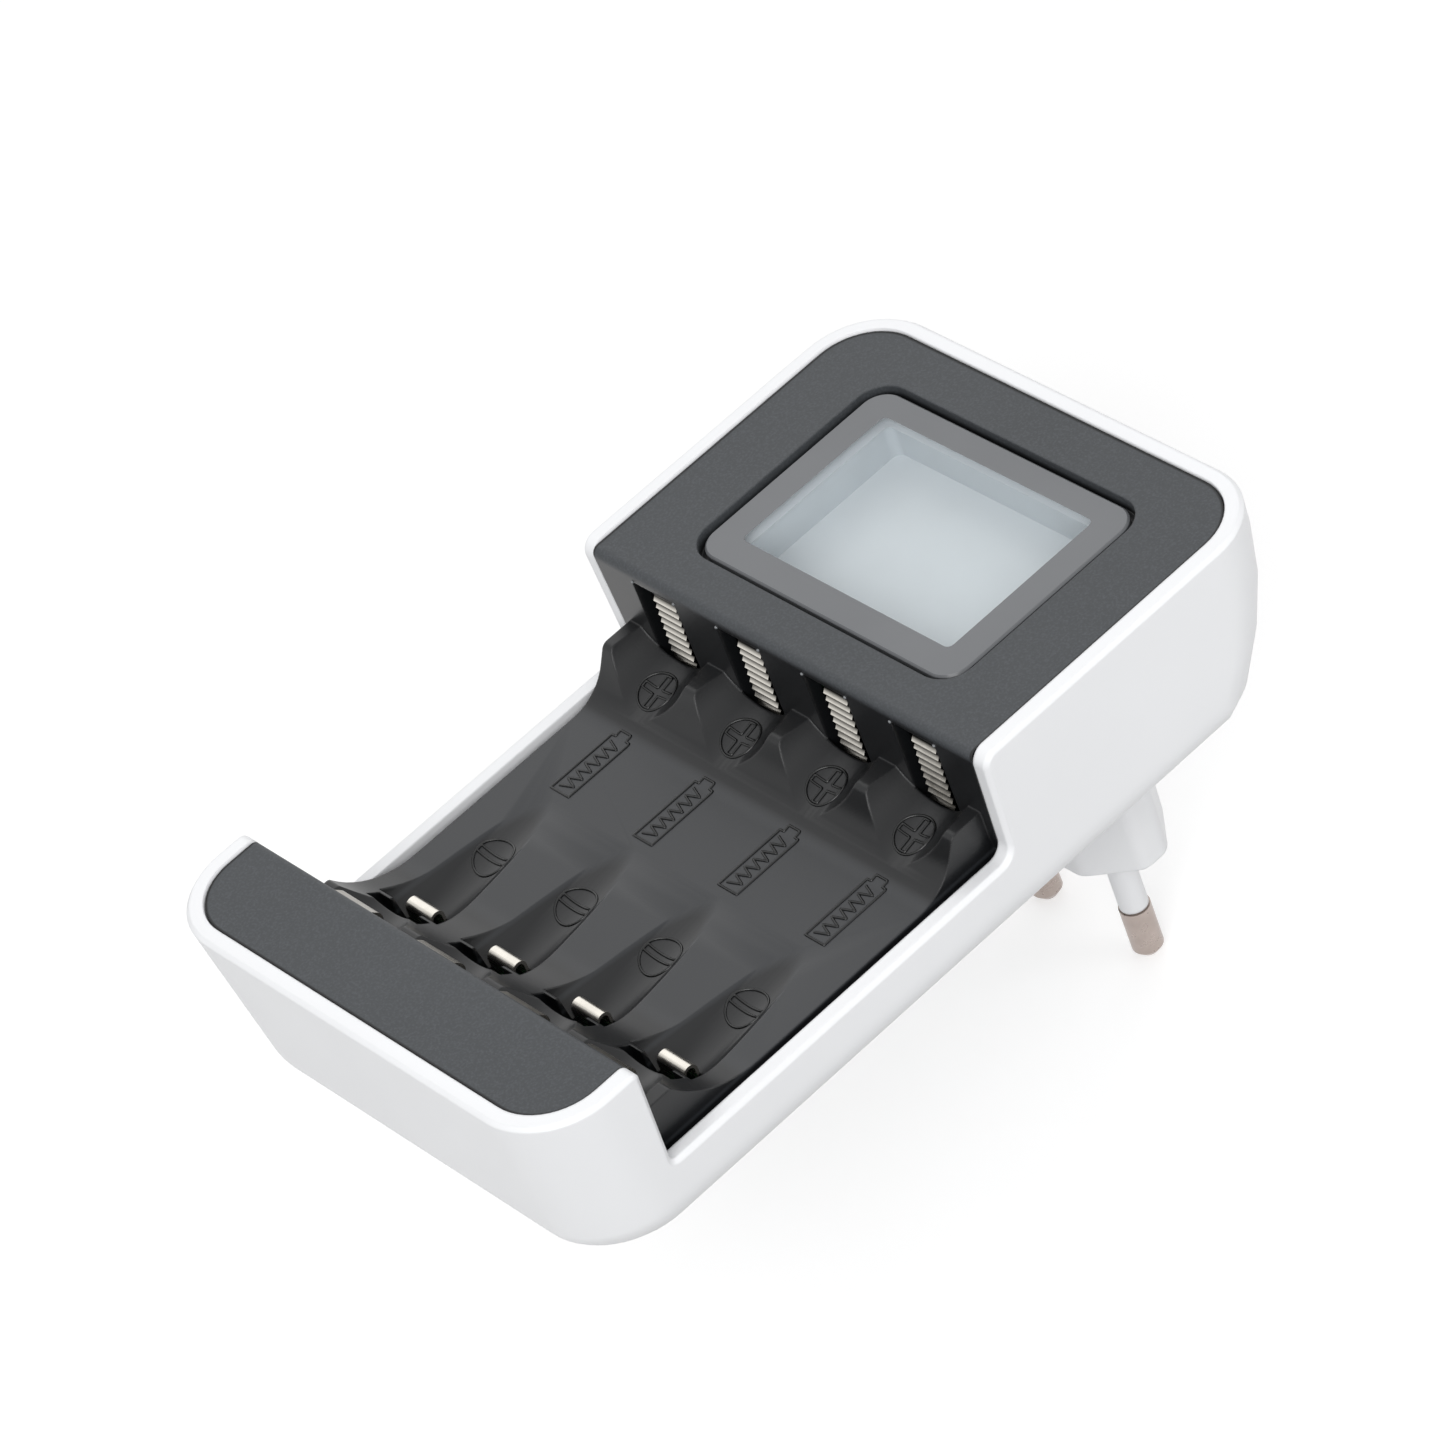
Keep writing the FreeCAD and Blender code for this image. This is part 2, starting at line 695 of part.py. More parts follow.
def rear_shell():
    """White lower housing: tub with a dipped rim, hollow plug tower, screw bosses and board posts."""
    outer = tub_form("shell_outer", "0", f"{TOP} + 2 * spare", rounding=3, bends=3)
    cavity = tub_form("shell_cavity", "rim_wall", f"{TOP} + 3 * spare")
    hollow = plug_form("tower_hollow", "tower_wall", "plug_face_wall", f"{INSIDE} + spare")
    walls = cut("shell_walls", join("shell_outside", [outer, plug_tower()]), [cavity, hollow])
    body = rim_cut(walls, outer)
    below = f"{BOTTOM} - spare"
    added = []
    holes = []
    for i, (x, y, top) in enumerate(CASE_SCREWS, start=1):
        added.append(peg(f"boss_{i}", 8, "post_round + boss_wall", x, y, (f"{BOTTOM} + spare", BOSS_TOP)))
        holes.append(peg(f"screw_way_{i}", 6, "screw_round + screw_gap", x, y,
                         (below, f"{BOSS_TOP} + spare")))
        holes.append(peg(f"screw_well_{i}", 16, "screw_head_round + well_gap", x, y,
                         (below, f"{BOTTOM} + screw_sunk")))
    for i, (x, y) in enumerate(BOARD_SCREWS, start=1):
        added.append(peg(f"board_post_{i}", 8, "small_post_round", x, y, (f"{BOTTOM} + spare", BOARD_LOW)))
        holes.append(peg(f"board_pilot_{i}", 6, "small_screw_round + pilot_gap", x, y,
                         (f"{BOARD_TOP} - small_screw_long - pilot_deeper", f"{BOARD_LOW} + spare")))
    for side in ("left", "right"):
        holes.append(pin_rod(f"pin_way_{side}", side, "sleeve_round + slide_gap",
                             ("-spare", "plug_face_wall + spare")))
    limit = tub_form("supports_limit", "rim_wall / 2", f"{TOP} + 2 * spare")
    inside = overlap("shell_supports", join("shell_posts", added), limit)
    whole = join("shell_with_posts", [body, inside])
    return keep("rear_shell", cut("shell_drilled", whole, holes))


def trough_tools(cell):
    """Round channel for a large cell: sinking away from the head wall, and level at the toe wall."""
    x = cell_centre(cell)
    head = (f"{HEAD_WALL} + spare * cos(head_trough_lean)",
            f"{TROUGH_BOTTOM} + trough_round / cos(head_trough_lean) + spare * sin(head_trough_lean)")
    toe = f"{HEAD_WALL} - toe_rise_foot + trough_lead"
    return [lying_rod(f"trough_head_{cell}", "trough_round", x, head, "trough_reach", "head_trough_lean"),
            lying_rod(f"trough_toe_{cell}", "trough_round", x, (toe, f"{TROUGH_BOTTOM} + trough_round"),
                      f"{toe} - {TOE_WALL} + spare / 100", "0")]


def groove_tool(name, cell, radius, start, end):
    """Sloping channel for a small cell, from start to end along its length."""
    middle = f"({TROUGH_BOTTOM} + groove_round / cos(groove_lean))"
    foot = (f"{HEAD_WALL} - ({start}) * cos(groove_lean)", f"{middle} - ({start}) * sin(groove_lean)")
    return lying_rod(f"{name}_{cell}", radius, cell_centre(cell), foot, f"({end}) - ({start})", "groove_lean")


def lip():
    """Ring under the cover's edge that drops inside the shell, at the head and at the toe."""
    outside = tub_form("lip_outside", COVER_INSET, f"{TOP} + spare")
    inside = tub_form("lip_inside", f"({COVER_INSET} + lip_wall)", f"{TOP} + 2 * spare")
    across = (f"-{HALF}", HALF)
    zone = join("lip_zone", [
        block("lip_head", across, (HEAD_WALL, REAR), (f"{TOP} - lip_deep", f"{TOP} - cover_wall / 2")),
        block("lip_toe", across, (TOE_FRONT, TOE_WALL),
              (f"{TOE_TOP} - lip_deep", f"{TOE_TOP} - cover_wall / 2"))])
    return overlap("lip", cut("lip_ring", outside, [inside]), zone)


def cover_blank():
    """Head panel, toe panel and their walls down to the cell tray between them."""
    past = "2 * spare"
    skin = side_profile("cover_skin", [
        (f"{REAR} + {past}", TOP), (HEAD_WALL, TOP, "panel_edge_round"), (HEAD_WALL, LEDGE),
        (TOE_WALL, LEDGE), (TOE_WALL, TOE_TOP, "panel_edge_round"), (f"{TOE_FRONT} - {past}", TOE_TOP),
        (f"{TOE_FRONT} - {past}", f"{TOE_TOP} - cover_wall"),
        (f"{TOE_WALL} - cover_wall", f"{TOE_TOP} - cover_wall"),
        (f"{TOE_WALL} - cover_wall", UNDERSIDE), (f"{HEAD_WALL} + cover_wall", UNDERSIDE),
        (f"{HEAD_WALL} + cover_wall", f"{TOP} - cover_wall"), (f"{REAR} + {past}", f"{TOP} - cover_wall")],
        f"2 * ({HALF} + spare)")
    tray = side_profile("cover_tray", [
        (f"{HEAD_WALL} + bite", LAND), (f"{HEAD_WALL} - head_land_long", LAND, "head_land_round"),
        (f"{HEAD_WALL} - head_slope_end", FLOOR, "head_slope_round"),
        (f"{HEAD_WALL} - toe_rise_foot", FLOOR, "toe_rise_round"),
        (f"{HEAD_WALL} - toe_rise_top", LAND, "toe_land_round"), (f"{TOE_WALL} - bite", LAND),
        (f"{TOE_WALL} - bite", UNDERSIDE), (f"{HEAD_WALL} + bite", UNDERSIDE)], "2 * tray_half")
    return [skin, tray, lip()]


def cover_posts():
    """Frame under the lens, and posts for the case screws and for the control board."""
    reach = "(lens_gap + cover_wall)"
    made = [block("lens_frame", (f"-({LENS_HALF} + {reach})", f"{LENS_HALF} + {reach}"),
                  (f"{LENS_TOE} - {reach}", f"{LENS_HEAD} + {reach}"),
                  (LENS_LEDGE, f"{TOP} - cover_wall / 2"))]
    for i, (x, y, top) in enumerate(CASE_SCREWS, start=1):
        made.append(peg(f"case_post_{i}", 8, "post_round", x, y, (BOSS_TOP, top)))
    for i, (x, y) in enumerate(CONTROL_SCREWS, start=1):
        made.append(peg(f"control_post_{i}", 8, "control_post_round", x, y,
                        (CONTROL_TOP, f"{TOP} - cover_wall / 2")))
    return made


def tray_gutters():
    """Walls under the grooves and round the pockets, hanging from the tray."""
    made = []
    for cell in CELLS:
        x = cell_centre(cell)
        half = "(pocket_wide / 2 + gutter_wall)"
        made.append(block(f"gutter_{cell}", (f"{x} - {half}", f"{x} + {half}"),
                          (f"{HEAD_WALL} - groove_end", f"{HEAD_WALL} - gutter_start"),
                          (f"{LEDGE} - gutter_drop", UNDERSIDE)))
        made.append(block(f"pocket_frame_{cell}", (f"{x} - {half}", f"{x} + {half}"),
                          (f"{HEAD_WALL} - groove_end - pocket_long - gutter_wall",
                           f"{HEAD_WALL} - groove_end + notch_long + gutter_wall"),
                          (f"{TOP} - pocket_frame_deep", UNDERSIDE)))
    return made


def cell_cuts(cell):
    """Groove, pocket and notch of one cell in the tray, and its slots in the two walls."""
    x = cell_centre(cell)
    end = f"{HEAD_WALL} - groove_end"
    deep = (f"{LEDGE} - gutter_drop - spare", LAND)
    slot = (f"{x} - slot_wide / 2", f"{x} + slot_wide / 2")
    return [groove_tool("groove", cell, "groove_round", "groove_start", "groove_end"),
            block(f"pocket_{cell}", (f"{x} - pocket_wide / 2", f"{x} + pocket_wide / 2"),
                  (f"{end} - pocket_long", end), deep),
            block(f"notch_{cell}", (f"{x} - notch_wide / 2", f"{x} + notch_wide / 2"),
                  (f"{end} - spare", f"{end} + notch_long"), deep),
            block(f"slot_{cell}", slot, (f"{HEAD_WALL} - spare / 100", f"{HEAD_WALL} + cover_wall + spare"),
                  (f"{TOP} - slot_low_deep", f"{TOP} - slot_top_deep")),
            block(f"toe_slot_{cell}", slot, (f"{TOE_WALL} - cover_wall - spare", f"{TOE_WALL} + spare / 100"),
                  (f"{TOP} - toe_slot_low_deep", f"{TOP} - toe_slot_top_deep"))]


def front_cover():
    """Dark cover: head panel and toe panel, with the cell tray sunk between them."""
    blank = join("cover_blank", cover_blank() + cover_posts() + tray_gutters())
    solid = overlap("cover_solid", blank, tub_form("cover_limit", COVER_INSET, f"{TOP} + 3 * spare"))
    channels = []
    tools = []
    for cell in CELLS:
        channels += trough_tools(cell)
        tools += cell_cuts(cell)
    above = block("above_floor", (f"-{HALF}", HALF), (TOE_WALL, HEAD_WALL), (FLOOR, f"{TOP} + spare"))
    tools.append(overlap("troughs", join("trough_rods", channels), above))
    tools.append(block("toe_hollow", ("-(tray_half - cover_wall)", "tray_half - cover_wall"),
                       (f"{TOE_WALL} - spare / 100", f"{HEAD_WALL} - groove_end - pocket_long - gutter_wall"),
                       (f"{UNDERSIDE} - spare", f"{TROUGH_BOTTOM} - cover_wall")))
    tools.append(plate("lens_recess", f"({LENS_HALF} + lens_gap)",
                       (f"{LENS_TOE} - lens_gap", f"{LENS_HEAD} + lens_gap"),
                       (LENS_BACK, f"{TOP} + spare"), "lens_round + lens_gap"))
    reach = "view_margin + collar_wall + ledge_gap"
    tools.append(round_view("lens_opening", reach, (f"{LENS_LEDGE} - spare", TOP)))
    for i, (x, y, top) in enumerate(CASE_SCREWS, start=1):
        tools.append(peg(f"case_pilot_{i}", 6, "screw_round + pilot_gap", x, y,
                         (f"{BOSS_TOP} - spare", f"{BOTTOM} + screw_sunk + screw_long + pilot_deeper")))
    for i, (x, y) in enumerate(CONTROL_SCREWS, start=1):
        tools.append(peg(f"control_pilot_{i}", 6, "small_screw_round + pilot_gap", x, y,
                         (f"{CONTROL_TOP} - spare", f"{CONTROL_LOW} + small_screw_long + pilot_deeper")))
    return keep("front_cover", cut("cover_cut", solid, tools))


def display_lens():
    """Flat window with a printed border, sunk into the head panel."""
    body = plate("lens", LENS_HALF, (LENS_TOE, LENS_HEAD), (LENS_BACK, f"{TOP} - lens_sunk"), "lens_round")
    face = number(f"{TOP} - lens_sunk - bite / 10")
    rim = edges_where(body.Tip.Shape, lambda edge: edge.BoundBox.ZMin > face)
    bevel_edges(body, body.Tip, rim, "lens_edge", "lens_rim")
    return keep("display_lens", body)


def round_view(name, reach, z):
    """Block around the view, further out than it by reach on every side."""
    return block(name, (f"-(view_wide / 2 + {reach})", f"view_wide / 2 + {reach}"),
                 (f"{VIEW_TOE} - ({reach})", f"{VIEW_HEAD} + {reach}"), z)


def lcd_holder():
    """Light frame on the control board: a collar rises to the lens, and the glass lies under its ceiling."""
    collar = round_view("holder_collar", "view_margin + collar_wall", (GLASS_TOP, f"{LENS_BACK} - seat_gap"))
    frame = round_view("holder_frame", "glass_margin + holder_wall",
                       (CONTROL_TOP, f"{GLASS_TOP} + holder_ceiling"))
    room = round_view("holder_room", "glass_margin", (f"{CONTROL_TOP} - spare", GLASS_TOP))
    window = plate("holder_window", "(view_wide / 2 + view_margin)",
                   (f"{VIEW_TOE} - view_margin", f"{VIEW_HEAD} + view_margin"),
                   (f"{GLASS_TOP} - spare", f"{LENS_BACK} + spare"), "view_round")
    return keep("lcd_holder", cut("holder_cut", join("holder_blank", [collar, frame]), [room, window]))


def display_layers():
    """Glass, light guide and rubber connector between the holder's ceiling and the control board."""
    across = ("-(view_wide / 2 + glass_margin - seat_gap)", "view_wide / 2 + glass_margin - seat_gap")
    toe = f"{VIEW_TOE} - glass_margin + seat_gap"
    head = f"{VIEW_HEAD} + glass_margin - seat_gap"
    keep("lcd_glass", block("glass", across, (toe, head), (GLASS_BACK, GLASS_TOP)))
    keep("light_guide", block("guide", across, (toe, f"{head} - connector_thick - seat_gap"),
                              (CONTROL_TOP, GLASS_BACK)))
    keep("lcd_connector", block("connector", ("-connector_wide / 2", "connector_wide / 2"),
                                (f"{head} - connector_thick", head), (CONTROL_TOP, GLASS_BACK)))


def control_board():
    """Board behind the display, screwed to four posts of the cover, with a chip on its back."""
    sheet_form = block("control_sheet", (f"-({LENS_HALF} + control_out)", f"{LENS_HALF} + control_out"),
                       (f"{CONTROL_TOE} - control_toe_edge", f"{CONTROL_HEAD} + control_head_edge"),
                       (CONTROL_LOW, CONTROL_TOP))
    through = (f"{CONTROL_LOW} - spare", f"{CONTROL_TOP} + spare")
    holes = [peg(f"control_hole_{i}", 6, "small_screw_round + screw_gap", x, y, through)
             for i, (x, y) in enumerate(CONTROL_SCREWS, start=1)]
    keep("control_board", cut("control_drilled", sheet_form, holes))
    middle = f"({HEAD_WALL} + chip_along)"
    keep("control_chip", block("chip", ("-chip_wide / 2", "chip_wide / 2"),
                               (f"{middle} - chip_wide / 2", f"{middle} + chip_wide / 2"),
                               (f"{CONTROL_LOW} - chip_tall", CONTROL_LOW)))


def lead_x(side):
    """Where a pin's lead stands, over the upper end of the leaned pin."""
    sign = 1 if side == "right" else -1
    return f"({sign} * (pin_spacing / 2 + pin_inside * (pin_spacing - pin_tip_spacing) / 2 / pin_long))"


def charger_board():
    """Board on the shell's floor, under the tray and the head, with slots for the leads from the pins."""
    sheet_form = block("charger_sheet", ("-board_half", "board_half"), (BOARD_TOE, BOARD_HEAD),
                       (BOARD_LOW, BOARD_TOP))
    through = (f"{BOARD_LOW} - spare", f"{BOARD_TOP} + spare")
    holes = [peg(f"board_hole_{i}", 6, "small_screw_round + screw_gap", x, y, through)
             for i, (x, y) in enumerate(BOARD_SCREWS, start=1)]
    half, thin = "(lead_wide / 2 + lead_gap)", "(lead_thick / 2 + lead_gap)"
    for side in ("left", "right"):
        holes.append(block(f"lead_slot_{side}", (f"{lead_x(side)} - {half}", f"{lead_x(side)} + {half}"),
                           (f"-{thin}", thin), through))
    for side, x in (("left", "(-cell_pitch)"), ("right", "cell_pitch")):
        holes.append(block(f"toe_notch_{side}", (f"{x} - toe_notch_wide / 2", f"{x} + toe_notch_wide / 2"),
                           (f"{BOARD_TOE} - spare", f"{BOARD_TOE} + toe_notch_long"), through))
    keep("charger_board", cut("charger_drilled", sheet_form, holes))


def plus_contact(cell):
    """Ribbed strip in the head wall's slot, bent back over the slot's sill and down to the board."""
    low, top = f"({TOP} - plus_low_deep)", f"({TOP} - plus_top_deep)"
    face = strip(f"plus_{cell}", cell_centre(cell), [
        (f"{HEAD_WALL} + plus_tail_back", BOARD_TOP), (f"{HEAD_WALL} + plus_tail_back", low, "plus_bend"),
        (f"{HEAD_WALL} + plus_low_back", low, "plus_bend"),
        (f"{HEAD_WALL} + plus_top_back", top, "plus_bend"),
        (f"{HEAD_WALL} + plus_top_back + plus_tab_long", top)], "plus_strip_wide")
    comb = [(f"{HEAD_WALL} + plus_top_back", f"({top} - plus_bend)")]
    for i in range(2 * RIB_COUNT + 1):
        down = f"(plus_bend + rib_step * {i} / 2)"
        reach = "rib_reach" if i % 2 else "0"
        comb.append((f"{HEAD_WALL} + plus_top_back - strip_thick / 2 - {reach}"
                     f" + (plus_low_back - plus_top_back) * {down} / (plus_low_deep - plus_top_deep)",
                     f"({top} - {down})"))
    comb.append((f"{HEAD_WALL} + plus_low_back", f"({top} - plus_bend - rib_step * {RIB_COUNT})"))
    ribs = side_profile(f"ribs_{cell}", comb, "plus_strip_wide")
    bind(ribs, "Placement.Base.x", cell_centre(cell))
    return keep(f"plus_contact_{cell}", join(f"plus_ribbed_{cell}", [face, ribs]))


def large_cell_spring(cell):
    """Leaf spring behind the toe wall, with a nose through the wall's slot."""
    tail = f"{TOE_WALL} - nose_tail_back"
    return keep(f"large_cell_spring_{cell}", strip(f"leaf_{cell}", cell_centre(cell), [
        (tail, f"{BOARD_TOP} + foot_gap"), (tail, f"{TOP} - nose_bend_deep", "nose_bend"),
        (f"{TOE_WALL} + nose_reach", f"{TOP} - nose_deep", "nose_bend"),
        (f"{TOE_WALL} - nose_tip_back", f"{TOP} - nose_tip_deep")], "nose_wide"))


def small_cell_spring(cell):
    """Hairpin tab that stands up through the tray's pocket at the end of the small cell's groove."""
    front = f"{HEAD_WALL} - groove_end + tab_forward"
    back = f"{front} - tab_bend * 2 - strip_thick / 20"
    top = f"{TOP} - tab_top_deep - strip_thick / 2"
    return keep(f"small_cell_spring_{cell}", strip(f"tab_{cell}", cell_centre(cell), [
        (back, f"{BOARD_TOP} + foot_gap"), (back, top, "tab_bend"), (front, top, "tab_bend"),
        (front, f"{top} - tab_front_long")], "tab_wide"))


def plug_pin(side):
    """Round pin: bare end below a thinner neck that runs up through the plug's face."""
    body = new_body(f"pin_{side}")
    sketch = new_sketch(body, f"pin_{side}_outline", "XZ_Plane")
    draw(sketch, [("0", "-pin_long"), ("pin_round - pin_tip_bevel", "-pin_long"),
                  ("pin_round", "-pin_long + pin_tip_tall"),
                  ("pin_round", "-sleeve_long - pin_ring"), ("pin_core_round", "-sleeve_long - pin_ring"),
                  ("pin_core_round", "pin_inside"), ("0", "pin_inside")])
    turned = body.newObject("PartDesign::Revolution", f"pin_{side}_turned")
    turned.Profile = sketch
    turned.ReferenceAxis = (sketch, ["V_Axis"])
    doc.recompute()
    pin_placed(body, side, "0")
    keep(f"plug_pin_{side}", body)
    tube = pin_rod(f"sleeve_{side}", side, "sleeve_round", ("-sleeve_long", "plug_face_wall - seat_gap"))
    bore = pin_rod(f"sleeve_bore_{side}", side, "pin_core_round + sleeve_gap",
                   ("-sleeve_long - spare", "plug_face_wall + spare"))
    keep(f"pin_sleeve_{side}", cut(f"sleeve_{side}_cut", tube, [bore]))
    x = lead_x(side)
    keep(f"pin_lead_{side}", block(f"lead_{side}", (f"{x} - lead_wide / 2", f"{x} + lead_wide / 2"),
                                   ("-lead_thick / 2", "lead_thick / 2"),
                                   ("pin_inside + seat_gap", f"{BOARD_TOP} + lead_end")))


def plug_insert():
    """Block inside the plug's tower that holds both pins."""
    form = plug_form("insert_form", "(tower_wall + seat_gap)", "plug_face_wall",
                     "plug_face_wall + insert_tall")
    span = ("plug_face_wall - spare", "plug_face_wall + insert_tall + spare")
    bores = []
    for side in ("left", "right"):
        bore = peg(f"insert_bore_{side}", 16, "(pin_core_round + sleeve_gap) / cos(180 / 16)", "0", "0", span)
        bores.append(pin_placed(bore, side, span[0]))
    return keep("plug_insert", cut("insert_bored", form, bores))


def group(node, things):
    made = doc.addObject("Part::Compound", node + "_group")
    made.Links = things
    return keep(node, made)


def screws():
    """Case screws from below, and small screws that hold the two boards."""
    seat = f"({BOTTOM} + screw_sunk)"
    large = []
    for i, (x, y, top) in enumerate(CASE_SCREWS, start=1):
        head = peg(f"case_head_{i}", 16, "screw_head_round", x, y, (f"{seat} - screw_head_tall", seat))
        shank = peg(f"case_shank_{i}", 6, "screw_round", x, y, (f"{seat} - bite", f"{seat} + screw_long"))
        large.append(join(f"case_screw_{i}", [head, shank]))
    group("case_screws", large)
    small = []
    for i, (x, y) in enumerate(BOARD_SCREWS + CONTROL_SCREWS, start=1):
        if i <= len(BOARD_SCREWS):
            head = (BOARD_TOP, f"{BOARD_TOP} + small_head_tall")
            shank = (f"{BOARD_TOP} - small_screw_long", f"{BOARD_TOP} + bite")
        else:
            head = (f"{CONTROL_LOW} - small_head_tall", CONTROL_LOW)
            shank = (f"{CONTROL_LOW} - bite", f"{CONTROL_LOW} + small_screw_long")
        small.append(join(f"small_screw_{i}", [peg(f"small_head_{i}", 6, "small_screw_head", x, y, head),
                                               peg(f"small_shank_{i}", 6, "small_screw_round", x, y, shank)]))
    group("board_screws", small)


def on_board(name, x, y, wide, long, tall):
    """Block that stands on the charger board, around x and y."""
    return block(name, (f"{x} - {wide} / 2", f"{x} + {wide} / 2"), (f"{y} - {long} / 2", f"{y} + {long} / 2"),
                 (BOARD_TOP, f"{BOARD_TOP} + {tall}"))


def power_parts():
    """Parts that stand on the charger board, in the room behind the head wall."""
    x, y = "transformer_across", f"({HEAD_WALL} + transformer_along)"
    yoke = on_board("core_block", x, y, "core_wide", "core_long", "core_tall")
    window = block("core_window", (f"{x} - core_wide / 2 + core_leg", f"{x} + core_wide / 2 - core_leg"),
                   (f"{y} - core_long", f"{y} + core_long"),
                   (f"{BOARD_TOP} + core_leg", f"{BOARD_TOP} + core_tall - core_leg"))
    keep("transformer_core", cut("core_cut", yoke, [window]))
    coil = block("coil", (f"{x} - core_wide / 2 + core_leg + seat_gap",
                          f"{x} + core_wide / 2 - core_leg - seat_gap"),
                 (f"{y} - coil_long / 2", f"{y} + coil_long / 2"),
                 (f"{BOARD_TOP} + core_leg", f"{BOARD_TOP} + core_tall - core_leg - seat_gap"))
    keep("transformer_coil", coil)
    row = f"({HEAD_WALL} + mains_capacitor_along)"
    can = cross_peg("mains_can", 16, "mains_capacitor_round",
                    ("-mains_capacitor_out", "-mains_capacitor_out + mains_capacitor_long"), row,
                    f"{BOARD_TOP} + mains_capacitor_round")
    keep("mains_capacitor", can)
    cans = [peg(f"output_can_{i}", 16, "output_capacitor_round", "output_capacitor_across",
                f"{HEAD_WALL} + output_capacitor_along + {i} * output_capacitor_step",
                (BOARD_TOP, f"{BOARD_TOP} + output_capacitor_tall")) for i in (0, 1)]
    group("output_capacitors", cans)
    keep("suppression_capacitor", on_board("film_block", "-film_across", f"({HEAD_WALL} + film_along)",
                                           "film_wide", "film_long", "film_tall"))
    keep("switching_controller", on_board("controller_block", "-controller_across",
                                          f"({HEAD_WALL} + controller_along)", "controller_wide",
                                          "controller_long", "controller_tall"))
    diodes = [on_board(f"diode_{i}", f"(-diode_across + {i} * diode_step)", f"({HEAD_WALL} - diode_along)",
                       "diode_wide", "diode_long", "diode_tall") for i in range(4)]
    group("rectifier_diodes", diodes)
    header = block("header", ("-header_across - header_wide / 2", "-header_across + header_wide / 2"),
                   (f"{HEAD_WALL} + header_along - header_thick / 2",
                    f"{HEAD_WALL} + header_along + header_thick / 2"), (BOARD_TOP, CONTROL_LOW))
    keep("board_header", header)


RIB_COUNT = 9
rear_shell()
front_cover()
display_lens()
lcd_holder()
display_layers()
control_board()
charger_board()
for cell in CELLS:
    plus_contact(cell)
    large_cell_spring(cell)
    small_cell_spring(cell)
plug_insert()
for side in ("left", "right"):
    plug_pin(side)
screws()
power_parts()
doc.recompute()

for thing in doc.Objects:
    if "Invalid" in thing.State or "Error" in thing.State:
        raise RuntimeError(f"{thing.Name} failed: {thing.State}")
for node, thing in pieces.items():
    if thing.Shape.isNull() or not thing.Shape.isValid():
        raise RuntimeError(f"{node} has no valid shape")
os.makedirs("parts", exist_ok=True)
for node, thing in pieces.items():
    thing.Shape.exportStep(f"parts/{node}.step")
    print(node, len(thing.Shape.Solids), round(thing.Shape.Volume, 1))
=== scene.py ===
"""Looks of the plug-in cell charger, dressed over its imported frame."""
import json
import math

import bmesh
import bpy
from mathutils import Euler, Matrix, Vector


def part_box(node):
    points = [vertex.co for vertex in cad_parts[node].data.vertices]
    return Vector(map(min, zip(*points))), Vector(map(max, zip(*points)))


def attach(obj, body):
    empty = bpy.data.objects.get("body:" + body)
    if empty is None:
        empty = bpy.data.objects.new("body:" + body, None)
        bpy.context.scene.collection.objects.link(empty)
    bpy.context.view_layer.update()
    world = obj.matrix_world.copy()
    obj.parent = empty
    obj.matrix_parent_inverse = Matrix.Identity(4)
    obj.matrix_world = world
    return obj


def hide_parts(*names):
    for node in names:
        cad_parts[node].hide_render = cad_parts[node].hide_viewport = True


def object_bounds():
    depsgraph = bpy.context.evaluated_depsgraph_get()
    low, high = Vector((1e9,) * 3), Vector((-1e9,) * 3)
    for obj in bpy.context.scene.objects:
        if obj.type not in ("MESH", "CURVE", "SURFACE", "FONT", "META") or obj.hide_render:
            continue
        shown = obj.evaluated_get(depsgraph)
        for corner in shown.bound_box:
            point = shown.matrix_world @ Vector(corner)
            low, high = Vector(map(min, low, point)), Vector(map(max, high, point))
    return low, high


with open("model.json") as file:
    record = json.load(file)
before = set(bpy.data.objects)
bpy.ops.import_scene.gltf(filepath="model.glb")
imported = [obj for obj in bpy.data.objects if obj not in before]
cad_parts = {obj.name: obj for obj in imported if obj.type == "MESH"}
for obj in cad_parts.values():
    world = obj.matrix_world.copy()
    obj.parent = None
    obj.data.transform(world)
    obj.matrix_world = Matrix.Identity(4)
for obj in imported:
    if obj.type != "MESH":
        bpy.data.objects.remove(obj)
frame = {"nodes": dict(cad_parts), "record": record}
CAD_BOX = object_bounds()
MM = 0.001
BODY = "housing"

# Places on the charger, in metres from the plug face: X across, Y to the head, Z away from the socket.
NUMBERS = (1, 2, 3, 4)
TOP = 50.5 * MM
HEAD_WALL = -27.1 * MM
TRAY_FLOOR = 34.3 * MM
CELL_PITCH = 15.0 * MM
CELLS = [(number - 2.5) * CELL_PITCH for number in NUMBERS]
SLOT_HALF = 3.7 * MM
SLOT_TOP = TOP - 2 * MM
COVER_CORNER = 7.65 * MM
# Width of the painted shadow along the cover's outline.
GAP_SHADOW_WIDTH = 0.4 * MM
PANEL_FOOT = TOP - 1.6 * MM
PANEL_EDGE = TOP - 0.9 * MM
RIB_CREST = -28.48 * MM
RIB_VALLEY = -28.2 * MM
STRIP_LEAN = 0.0473
WINDOW = Vector((35.8 * MM, 23.5 * MM, 0))
WINDOW_TOE = HEAD_WALL + 10.9 * MM
WINDOW_CORNER = 0.8 * MM

# The tub's outline at its rim, how it narrows on the way down, and its rounder lower edge.
TUB_BOTTOM = 23.7 * MM
TUB_HALF = 35.2 * MM
TUB_TOE = -94.9 * MM
TUB_REAR = 20.7 * MM
TUB_CORNER = 10 * MM
SIDE_SLOPE = 0.0796
TOE_SLOPE = 0.105
LOWER_EDGE = 6 * MM
CUTTER_SKIN = 0.008 * MM
CUTTER_REACH = 4 * MM
CORNER_STEPS = 14
EDGE_STEPS = 12

